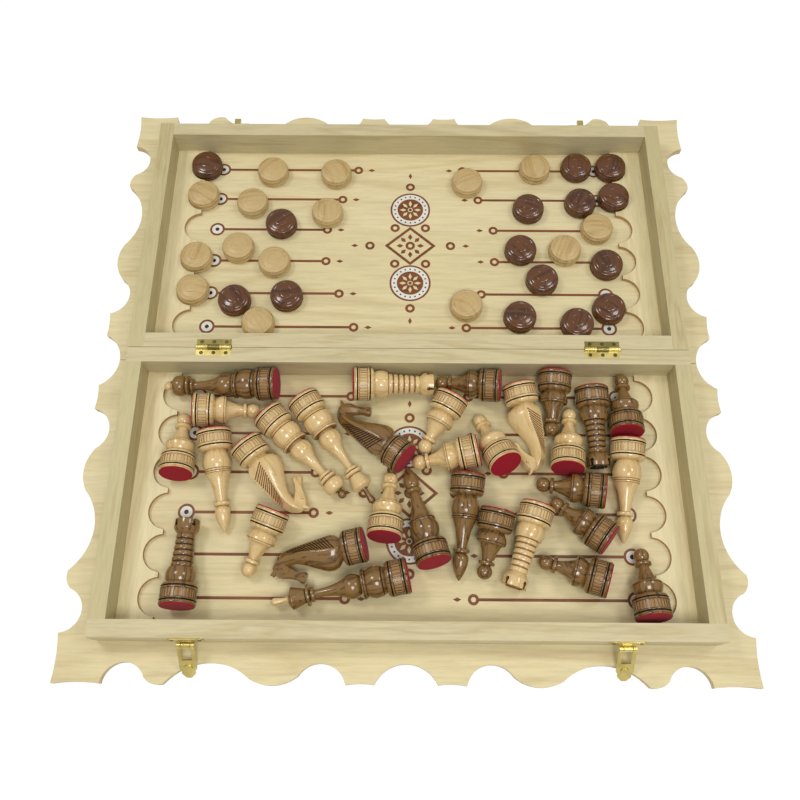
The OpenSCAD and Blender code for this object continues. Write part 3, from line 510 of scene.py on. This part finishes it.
place_copies("light_draughts_turned", draught_pattern, draught_places(LIGHT_NESTS, LIGHT_SPOTS),
             [pale_turned], "draughts", "light_draughts")
place_copies("dark_draughts_turned", draught_pattern, draught_places(DARK_NESTS, DARK_SPOTS),
             [red_turned], "draughts", "dark_draughts")
bpy.data.objects.remove(draught_pattern)


# Bases of the chessmen, turned and carved.
# Every man has a drum for its foot, turned from one piece of wood with it: a
# plain ring, a black line, a band carved with little upright windows, another
# black line and a rounded shoulder.
DRUM_H = 18
DRUM_R = 15
RING_Z = 13.9
BAND_LOW = 5.3
BAND_HIGH = 11.3
WINDOW_DEPTH = 0.5
WINDOW_FRAME = 0.18
PLAIN = 0
BLACK = 1
CARVED = 2
BURNT_LINE_AND_SHADE = 3

drum_outline = [
    (0, 0), (14.4, 0), (14.9, 0.25), (15, 0.6), (15, 1.0), (15, 2.2), (14.9, 2.4), (14.5, 2.5), (14.5, 3.6),
    (14.9, 3.7), (15, 3.9), (15, 4.3), (14.85, 4.45), (14.6, 4.55), (14.6, 5.0), (14.6, 5.3), (14.6, 11.3),
    (14.6, 11.6), (14.6, 12.05), (14.85, 12.15), (15, 12.3), (15, 13.3), (14.9, 13.5), (14.5, 13.6),
    (14.5, 14.7)]
drum_outline += arc_points(11.4, 14.8, 3.3, 0, 80, 8)
drum_marks = [
    (4.5, 12.1, 14.75, CARVED), (2.45, 3.65, 14.75, BLACK), (13.55, 14.75, 14.75, BLACK),
    (0.62, 0.98, 15.1, BURNT_LINE_AND_SHADE), (4.45, 4.98, 14.8, BURNT_LINE_AND_SHADE), (11.62, 12.14, 14.8, BURNT_LINE_AND_SHADE)]


def paint_turned(made, marks):
    """Gives the faces between two heights and inside a radius their paint, and darkens the windows' sides
    with the burnt-line colour as painted shade.
    """
    for face in made.data.polygons:
        height = face.center.z / MM
        reach = math.hypot(face.center.x, face.center.y) / MM
        face.material_index = PLAIN
        for low, high, radius, finish in marks:
            if low < height < high and reach < radius:
                face.material_index = finish
        # The sides of the sunk windows get the dark burnt-line colour: painted shade in the recesses, not a
        # burn.
        outward = (face.normal.x * face.center.x + face.normal.y * face.center.y) / MM
        if BAND_LOW < height < BAND_HIGH and 14.0 < reach < 14.58 and outward < 0.5 * reach:
            face.material_index = BURNT_LINE_AND_SHADE


def carve_windows(made):
    """Sinks every other face of the carved band."""
    bpy.ops.object.select_all(action="DESELECT")
    made.select_set(True)
    bpy.context.view_layer.objects.active = made
    bpy.ops.object.mode_set(mode="EDIT")
    bpy.ops.mesh.select_mode(type="FACE")
    bpy.ops.mesh.select_all(action="DESELECT")
    bpy.ops.object.mode_set(mode="OBJECT")
    for face in made.data.polygons:
        x, y, z = face.center / MM
        if BAND_LOW < z < BAND_HIGH and math.hypot(x, y) > 14.3 and abs(face.normal.z) < 0.3:
            turn = math.degrees(math.atan2(y, x)) % 360
            face.select = int(turn / (360 / LATHE_STEPS)) % 2 == 0
    bpy.ops.object.mode_set(mode="EDIT")
    bpy.ops.mesh.inset(thickness=WINDOW_FRAME * MM, depth=-WINDOW_DEPTH * MM, use_individual=True)
    bpy.ops.object.mode_set(mode="OBJECT")


def lying(dip, x, y, heading, side=1, own_dip=None, lift=None):
    """Where a man lies in the front tray, on its drum's upper ring with its head dipped.

    side is -1 for a knight that lies the other way round, and a man that is
    propped up on others has its own dip and height.
    """
    tilt = math.radians(dip if own_dip is None else own_dip)
    if lift is None:
        lift = RING_Z * math.sin(tilt) + DRUM_R * math.cos(tilt)
    return (Matrix.Translation((x * MM, (y - TRAY_Y) * MM, (SEAT_Z + lift) * MM))
            @ Matrix.Rotation(math.radians(heading), 4, "Z")
            @ Matrix.Translation((-DRUM_H / 2 * math.cos(tilt) * MM, 0, 0))
            @ Matrix.Rotation(math.radians(90) + tilt, 4, "Y")
            @ Matrix.Diagonal((1, side, 1, 1)))


def make_man(name, outline, marks):
    """A turned man with its drum, painted, carved and ready to copy."""
    made = turn_on_lathe(name, drum_outline + outline)
    for paint in pale_paint:
        made.data.materials.append(paint)
    carve_windows(made)
    paint_turned(made, drum_marks + marks)
    keep_turning(made)
    return made


def man_finish(name, pale, grain, stretch, gloss, bump=0.1):
    """Lacquered, blackened, carved or scorched wood, with its grain along the man; the scorched finish also
    serves as painted shade in cuts and hollows.
    """
    return timber(name, pale, grain, ALONG_Z, stretch, fine=10, gloss=gloss, bump=bump, turned=True)


pale_paint = [
    man_finish("pale lacquered men", (0.67, 0.48, 0.22, 1), (0.57, 0.37, 0.135, 1), 70, 0.2),
    man_finish("black line on pale men", (0.012, 0.008, 0.006, 1), (0.008, 0.006, 0.004, 1), 90, 0.45),
    man_finish("carved band of pale men", (0.62, 0.45, 0.21, 1), (0.50, 0.33, 0.13, 1), 120, 0.3, 0.2),
    man_finish("burnt line and painted shade of pale men", (0.26, 0.115, 0.035, 1), (0.20, 0.08, 0.025, 1), 90, 0.3)]
# The last finish of each set is used for real burn lines and as painted shade in recesses.
dark_paint = [
    man_finish("dark lacquered men", (0.22, 0.118, 0.033, 1), (0.085, 0.039, 0.012, 1), 120, 0.17),
    man_finish("black line on dark men", (0.010, 0.007, 0.005, 1), (0.008, 0.005, 0.004, 1), 90, 0.4),
    man_finish("carved band of dark men", (0.33, 0.19, 0.07, 1), (0.20, 0.105, 0.035, 1), 150, 0.25, 0.2),
    man_finish("burnt line and painted shade of dark men", (0.04, 0.020, 0.010, 1), (0.03, 0.014, 0.008, 1), 90, 0.25)]
for paint in (pale_paint[BLACK], dark_paint[BLACK]):
    paint.node_tree.nodes["Principled BSDF"].inputs["Specular IOR Level"].default_value = 0.12


def set_out(kind, pattern, dip, light, dark):
    """Lays the pale and the dark men of one kind in the tray."""
    for tone, places, paint in (("light", light, pale_paint), ("dark", dark, dark_paint)):
        matrices = [lying(dip, *place) for place in places]
        place_copies(tone + "_" + kind + "_turned", pattern, matrices, paint, "chessmen",
                     tone + "_" + kind)
    bpy.data.objects.remove(pattern)


# Pawns.
# A cup with a sharp rim, a cone, a collar and a ball above the drum, turned and
# lacquered; one pale pawn lies with its drum up on its neighbours.
pawn_outline = (
    [(9.6, 18.1)] + arc_points(0, 26.9, 12.6, -42, -3, 8)
    + [(12.2, 26.5), (12.2, 26.9), (12.5, 27.1), (12.4, 27.6), (12.0, 28.2), (11.4, 28.45), (9.9, 28.5),
       (9.4, 28.9), (8.1, 31.5), (6.6, 35), (5.3, 38.6), (4.5, 41.4), (4.2, 42.9), (6.2, 43.0),
       (6.85, 43.5), (7.0, 44.5), (6.85, 45.5), (6.2, 46.0), (4.4, 46.1)]
    + arc_points(0, 51.6, 6.4, -56, 90, 14))
pawn = make_man("pawn pattern", pawn_outline, [(26.4, 27.0, 12.4, BURNT_LINE_AND_SHADE), (28.4, 28.6, 11.5, BURNT_LINE_AND_SHADE)])
set_out("pawns", pawn, dip=8.84, light=[
    (-179, 70, 2), (-197, 20, 90), (-115, -29, -111), (36, 76, -119), (52, 32, -170),
    (80, 27, 113, 1, 20, 24.05), (138, 27, 83), (-18, -33, 85)], dark=[
    (73, 95, 174), (131, 98, -96), (74, -28, -104), (191, 60, 88), (158, -1, 171), (160, -38, 142),
    (155, -74, 162), (196, -97, 93)])


# Bishops.
# A round body under a rim, a long cone, a collar and a flame-shaped head above
# the drum, turned and lacquered.
bishop_outline = (
    [(8.8, 18.1), (9.0, 19.0), (10.0, 20.9), (11.1, 23.2)] + arc_points(0, 29, 12.3, -24, 25, 10)
    + [(10.5, 34.45), (10.7, 34.55), (11.05, 35.0), (11.1, 35.9), (10.7, 36.3), (11.1, 36.7), (10.9, 37.6),
       (10.4, 37.95), (9.6, 39.2), (8.4, 42.3), (7.2, 46), (6.4, 49.2), (5.6, 53.2), (4.7, 58.2),
       (4.0, 62.5), (6.2, 62.7), (6.85, 63.2), (7.0, 64.3), (6.85, 65.4), (6.1, 65.95), (3.7, 66.0)]
    + arc_points(0, 71.5, 6.6, -54, 0, 8)
    + [(6.45, 73.8), (6.1, 76), (5.5, 78.4), (4.6, 80.8), (3.6, 83.2), (2.4, 85.6), (1.2, 87.7),
       (0.4, 88.8), (0, 89)])
bishop_marks = [
    (34.2, 34.6, 11.2, BURNT_LINE_AND_SHADE), (35.95, 36.65, 11.0, BURNT_LINE_AND_SHADE), (37.6, 38.4, 10.7, BURNT_LINE_AND_SHADE)]
bishop = make_man("bishop pattern", bishop_outline, bishop_marks)
set_out("bishops", bishop, dip=8.13, light=[(-167, 41, -80), (190, 35, -96)],
        dark=[(20, -54, 105), (51, 3, -96)])


# Queens.
# A heavy round body under a rim, a vase, two discs and a flattened ball above the
# drum, turned and lacquered; the top takes a bead of the other wood.
QUEEN_NECK = 74.3
QUEEN_DIP = 4.32
LIGHT_QUEEN = (-117, 60, -46)
DARK_QUEEN = (-126, 95, 180)

tall_body = (
    [(9.6, 18.1)] + arc_points(0, 26.25, 13.2, -38, -26, 3) + [(11.6, 20.9)]
    + arc_points(0, 26.25, 13.2, -21, 38.5, 11)
    + [(10.2, 34.5), (11.7, 34.6), (12.25, 35.1), (12.4, 35.9), (12.1, 36.2), (12.4, 36.5), (12.25, 37.3),
       (11.6, 37.85), (7.0, 37.95)] + arc_points(0, 45.9, 10.2, -49, 38, 14))
tall_marks = [(34.1, 34.62, 11.9, BURNT_LINE_AND_SHADE), (35.95, 36.45, 12.4, BURNT_LINE_AND_SHADE), (37.8, 38.0, 12, BURNT_LINE_AND_SHADE),
              (20.4, 21.3, 12.2, BURNT_LINE_AND_SHADE)]


def vase_neck(top):
    """The vase above its widest part, hollowing in to the discs."""
    return [(7.2, 53.7), (6.4, 55.6), (5.7, 57.6), (5.1, 59.8), (4.6, 62.2), (4.2, 64.6), (3.8, 67.4),
            (3.5, 70.4), (3.3, 73.0), (3.25, top)]


def two_discs(s):
    """A small disc and a large one above the vase, from height s."""
    return [(3.3, s), (5.6, s + 0.1), (6.25, s + 0.6), (6.4, s + 1.5), (6.25, s + 2.4), (5.6, s + 2.9),
            (4.2, s + 3.1), (4.2, s + 3.7), (7.6, s + 3.9), (8.8, s + 4.3), (9.0, s + 5.2), (8.8, s + 6.2),
            (7.6, s + 6.7), (5.2, s + 6.85), (5.0, s + 7.5)]


queen_outline = (
    tall_body + vase_neck(QUEEN_NECK) + two_discs(QUEEN_NECK)
    + [(6.6, 81.95), (8.0, 83.0), (8.95, 84.6), (9.4, 86.6), (9.4, 88.3), (9.0, 90.2), (8.1, 91.9),
       (6.6, 93.1), (5.2, 93.4), (0, 93.4)])
queen = make_man("queen pattern", queen_outline,
                 tall_marks + [(77.3, 78.1, 5, BURNT_LINE_AND_SHADE), (81.1, 81.9, 5.3, BURNT_LINE_AND_SHADE)])
set_out("queen", queen, QUEEN_DIP, [LIGHT_QUEEN], [DARK_QUEEN])


# Kings.
# Like the queens and taller, with a crown that widens upwards and takes a
# tapered finial of the other wood.
KING_NECK = 76.9
KING_DIP = 4.03
LIGHT_KING = (-88, 74, -55)
DARK_KING = (-8, -75, -169)

king_outline = (
    tall_body + vase_neck(KING_NECK) + two_discs(KING_NECK)
    + [(6.0, 84.6), (6.5, 86.3), (7.4, 89.5), (8.6, 93.2), (9.2, 94.6), (9.3, 95.2), (9.05, 95.8),
       (7.6, 96.9), (5.9, 98.0), (5.2, 98.4), (0, 98.5)])
king = make_man("king pattern", king_outline,
                tall_marks + [(79.9, 80.7, 5, BURNT_LINE_AND_SHADE), (83.7, 84.5, 5.3, BURNT_LINE_AND_SHADE)])
set_out("king", king, KING_DIP, [LIGHT_KING], [DARK_KING])


# Rooks.
# A round body, a stack of rings and a round tower above the drum, turned and
# lacquered; the tower is hollowed and sawn and drilled into four keyhole slots,
# whose walls and hollow are painted dark as shade.
RINGS = 6
RINGS_LOW = 30
RING_PITCH = 29 / RINGS
RING_R = 9.3
RING_TAPER = 0.3
SLOT_TURNS = (45, 135, 225, 315)

rook_outline = [(9.6, 18.1)] + arc_points(0, 24, 12.4, -29, 29, 12)
for ring in range(RINGS):
    r = RING_R - RING_TAPER * ring
    s = RINGS_LOW + RING_PITCH * ring
    rook_outline += [(r - 1.1, s), (r - 1.1, s + 0.5), (r - 0.3, s + 0.75), (r, s + 1.5), (r, s + 3.2),
                     (r - 0.3, s + 4.0), (r - 1.1, s + 4.3)]
rook_outline += [(7.0, 59), (7.5, 59.3), (8.6, 60.6), (9.9, 62.4), (10.4, 63.4), (10.4, 70.6), (10.0, 71),
                 (7.3, 71), (6.9, 70.7), (6.9, 68), (0, 68)]
rook_marks = []
for ring in range(RINGS):
    s = RINGS_LOW + RING_PITCH * ring
    rook_marks.append((s - 0.6, s + 0.6, 9.0 - RING_TAPER * ring, BURNT_LINE_AND_SHADE))
rook = make_man("rook pattern", rook_outline, rook_marks)
bpy.ops.object.select_all(action="DESELECT")
cutters = []
for turn in SLOT_TURNS[:2]:
    bpy.ops.mesh.primitive_cube_add(size=1, location=(0, 0, 0.0695), rotation=(0, 0, math.radians(turn)))
    slit = bpy.context.object
    slit.scale = (0.03, 0.0022, 0.005)
    cutters.append(slit)
for turn in SLOT_TURNS:
    way = Matrix.Rotation(math.radians(turn), 4, "Z") @ Vector((0.0105, 0, 0.0662))
    bpy.ops.mesh.primitive_cylinder_add(vertices=20, radius=0.0018, depth=0.0065, location=way,
                                        rotation=(0, math.radians(90), math.radians(turn)))
    cutters.append(bpy.context.object)
for cutter in cutters:
    bpy.context.view_layer.objects.active = rook
    cut = rook.modifiers.new("keyhole", "BOOLEAN")
    cut.operation = "DIFFERENCE"
    cut.solver = "EXACT"
    cut.object = cutter
    bpy.ops.object.modifier_apply(modifier=cut.name)
for cutter in cutters:
    bpy.data.objects.remove(cutter)
rook.data.attributes.remove(rook.data.attributes["turning"])
keep_turning(rook)
# The inside of the hollow tower and the walls of the slots get the dark burnt-line colour: painted shade in
# the hollows.
for face in rook.data.polygons:
    reach = math.hypot(face.center.x, face.center.y)
    if face.center.z > 0.0635 and reach < 0.0102 and face.normal.z < 0.9:
        face.material_index = BURNT_LINE_AND_SHADE
set_out("rooks", rook, dip=4.57, light=[(-39, 95.5, 2), (107, -23, -109)],
        dark=[(-184, -90, 90), (163, 83, -88)])


# Knights.
# A turned drum and a carved neck: rounded cheeks and chest, a mane of slanting cuts
# on two facets along the back, painted dark inside as shade, and a small head with
# ears, eyes and a mouth, tucked down to the chest.
MANE_CUTS = 15
MANE_LOW = 24
MANE_PITCH = 2.5
MANE_RISE = 8
CUT_R = 0.6
HEAD_SIDES = 8


def loft(name, section, rings):
    """Carries a closed section up through rings of height, back, front and half width."""
    bpy.ops.object.select_all(action="DESELECT")
    bpy.ops.mesh.primitive_circle_add(vertices=len(section), radius=0.001, fill_type="NGON")
    made = bpy.context.object
    made.name = name
    s, back, front, half = rings[0]
    for point, (across, along) in zip(made.data.vertices, section):
        point.co = (across * half * MM, (back + along * (front - back)) * MM, s * MM)
    bpy.ops.object.mode_set(mode="EDIT")
    bpy.ops.mesh.select_mode(type="FACE")
    bpy.ops.mesh.select_all(action="SELECT")
    for next_s, next_back, next_front, next_half in rings[1:]:
        shift = ((next_back + next_front) / 2 - (back + front) / 2) * MM
        step = (0, shift, (next_s - s) * MM)
        bpy.ops.mesh.extrude_region_move(TRANSFORM_OT_translate={"value": step})
        centre = (0, (next_back + next_front) / 2 * MM, next_s * MM)
        growth = (next_half / half, (next_front - next_back) / (front - back), 1)
        bpy.ops.transform.resize(value=growth, center_override=centre)
        s, back, front, half = next_s, next_back, next_front, next_half
    bpy.ops.mesh.select_all(action="SELECT")
    bpy.ops.mesh.normals_make_consistent(inside=False)
    bpy.ops.object.mode_set(mode="OBJECT")
    return made


def cut_away(made, cutters):
    """Cuts a joined set of cutters out of a piece."""
    tool = join_pieces(cutters)
    cut = made.modifiers.new("cut", "BOOLEAN")
    cut.operation = "DIFFERENCE"
    cut.solver = "EXACT"
    cut.use_self = True
    cut.object = tool
    bpy.context.view_layer.objects.active = made
    bpy.ops.object.modifier_apply(modifier=cut.name)
    bpy.data.objects.remove(tool)


def mane_cut(side, s):
    """A round cutter lying along one slanting cut, from the cheek at height s up to the crest."""
    top = s + MANE_RISE
    cheek = Vector((side * (10.0 - 0.08 * (s - 27)), -1.2 - 0.13 * (s - 29), s)) * MM
    crest = Vector((side * 2.1, -12.6 + 0.11 * (top - 27), top)) * MM
    outward = Vector((side * 0.82, -0.57, 0)) * 0.1 * MM
    bpy.ops.mesh.primitive_cylinder_add(
        vertices=10, radius=CUT_R * MM, depth=(crest - cheek).length + 0.5 * MM,
        location=(cheek + crest) / 2 + outward,
        rotation=(crest - cheek).to_track_quat("Z", "Y").to_euler())
    cutter = bpy.context.object
    for paint in pale_paint:
        cutter.data.materials.append(paint)
    # The cutter's faces carry the dark burnt-line colour into the groove it cuts: painted shade in the mane.
    for face in cutter.data.polygons:
        face.material_index = BURNT_LINE_AND_SHADE
    return cutter


neck_section = [
    (-0.14, 0), (0.14, 0), (1, 0.43), (1, 0.49), (0.52, 0.88), (0, 1), (-0.52, 0.88), (-1, 0.49), (-1, 0.43)]
neck = loft("knight neck", neck_section, [
    (17.3, -9, 9, 8.5), (19.5, -9.4, 9.8, 8.9), (21, -10.8, 12.0, 9.5), (23, -12.4, 14.4, 10.1),
    (27, -13.6, 16.0, 10.5), (32, -13.2, 15.8, 10.3), (38, -12.6, 13.2, 9.9), (45, -11.8, 9.4, 9.2),
    (52, -11.0, 5.8, 8.6), (58, -10.2, 3.8, 8.0), (64, -9.2, 3.6, 7.4), (69, -7.6, 5.2, 6.8),
    (73, -5.0, 6.6, 5.8), (76.5, -1.0, 7.0, 4.2), (78, 1.5, 6, 2.4)])
for paint in pale_paint:
    neck.data.materials.append(paint)
cut_away(neck, [mane_cut(side, MANE_LOW + MANE_PITCH * i) for side in (-1, 1) for i in range(MANE_CUTS)])

head_section = []
for i in range(HEAD_SIDES):
    turn = math.radians(360 / HEAD_SIDES * i)
    head_section.append((math.sin(turn), 0.5 - 0.5 * math.cos(turn)))
head = loft("knight head", head_section, [
    (-5, -2.6, 2.6, 2.6), (-3.8, -4.6, 4.4, 4.8), (-1.5, -6.2, 6.2, 6.2), (2, -7.0, 6.6, 6.6),
    (6, -6.6, 5.4, 6.0), (10, -5.0, 4.2, 4.9), (14, -3.9, 3.6, 4.1), (17.5, -3.7, 3.6, 4.0),
    (20, -4.4, 4.6, 4.7), (22.5, -4.7, 4.9, 4.7), (24, -4.3, 4.3, 4.0)])
nods = Matrix.Translation((0, 0.0046, 0.0725)) @ Matrix.Rotation(math.radians(-148), 4, "X")
head.data.transform(nods)
features = [head]
for side in (-1, 1):
    bpy.ops.mesh.primitive_cone_add(vertices=12, radius1=0.003, radius2=0.0007, depth=0.0076,
                                    location=(side * 0.003, 0.0072, 0.0768),
                                    rotation=(math.radians(-28), math.radians(side * 12), 0))
    features.append(bpy.context.object)
    eye = nods @ Vector((side * 0.0058, -0.0022, 0.0052))
    bpy.ops.mesh.primitive_uv_sphere_add(segments=12, ring_count=8, radius=0.0012, location=eye)
    features.append(bpy.context.object)
mouth_at = nods @ Vector((0, 0.0006, 0.0235))
bpy.ops.mesh.primitive_cube_add(size=1, location=mouth_at, rotation=(math.radians(-149), 0, 0))
mouth = bpy.context.object
mouth.scale = (0.012, 0.0007, 0.006)
cut_away(head, [mouth])
knight = turn_on_lathe("knight pattern", drum_outline + [(9.6, 18.1), (9.0, 18.2), (0, 18.2)])
carve_windows(knight)
for paint in pale_paint:
    knight.data.materials.append(paint)
paint_turned(knight, drum_marks)
for piece in features:
    piece.data.materials.append(pale_paint[PLAIN])
join_pieces([knight, neck] + features)
keep_turning(knight)
set_out("knights", knight, dip=7.42, light=[(-135, 32, -50, 1), (100, 86, -78, -1)],
        dark=[(-44, -50, -168, 1), (-9, 31, 142, -1)])


# Felts under the drums.
# Discs of dyed red felt, glued under each man so that it slides without a sound.
felt = bpy.data.materials.new("red felt")
felt.use_nodes = True
pile = felt.node_tree
pile_shader = pile.nodes["Principled BSDF"]
pile_place = pile.nodes.new("ShaderNodeTexCoord").outputs["Object"]
fuzz = noise_node(pile, pile_place, scale=1400.0, detail=4.0, roughness=0.7)
pile_colour = ramp_node(pile, fuzz, [(0.3, (0.22, 0.002, 0.012, 1)), (0.7, (0.42, 0.006, 0.02, 1))])
pile.links.new(pile_colour, pile_shader.inputs["Base Color"])
pile_shader.inputs["Roughness"].default_value = 0.95
pile_shader.inputs["Specular IOR Level"].default_value = 0.1
pile_shader.inputs["Sheen Weight"].default_value = 0.08
pile_shader.inputs["Sheen Roughness"].default_value = 0.5
add_relief(pile, pile_shader, fuzz, strength=0.5, depth=0.0003)
wear("light_felts", felt)
wear("dark_felts", felt)


# Finials of the queens and kings.
# A bead and a peg that swells to a blunt point, each on a thin disc, turned from
# the other wood and pushed into a hole in the head.
bead = turn_on_lathe("bead", [(0, 93.3), (3.3, 93.4), (3.6, 93.7), (3.4, 94.2), (2.0, 94.5), (1.8, 94.7)]
                     + arc_points(0, 98.1, 3.9, -62, 90, 12), steps=32)
peg = turn_on_lathe("peg", [
    (0, 98.3), (3.5, 98.4), (3.8, 98.8), (3.6, 99.4), (2.1, 99.8), (1.9, 100.4), (2.2, 103.5), (2.7, 107),
    (3.2, 109.6), (3.3, 110.4), (2.9, 111.3), (1.5, 113.1), (0.6, 113.9), (0, 114)], steps=32)
for pattern in (bead, peg):
    keep_turning(pattern)
for tone, queen_at, king_at, paint in (
        ("dark", LIGHT_QUEEN, LIGHT_KING, dark_paint[PLAIN]),
        ("light", DARK_QUEEN, DARK_KING, pale_paint[PLAIN])):
    pair = []
    for pattern, matrix in ((bead, lying(QUEEN_DIP, *queen_at)), (peg, lying(KING_DIP, *king_at))):
        copy = copy_of(pattern)
        copy.data.transform(matrix)
        copy.data.materials.append(paint)
        pair.append(copy)
    finials = join_pieces(pair)
    finials.name = tone + "_finials_turned"
    bpy.ops.object.shade_smooth_by_angle(angle=SMOOTH_ANGLE)
    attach(finials, "chessmen")
    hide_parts(tone + "_finials")
for pattern in (bead, peg):
    bpy.data.objects.remove(pattern)
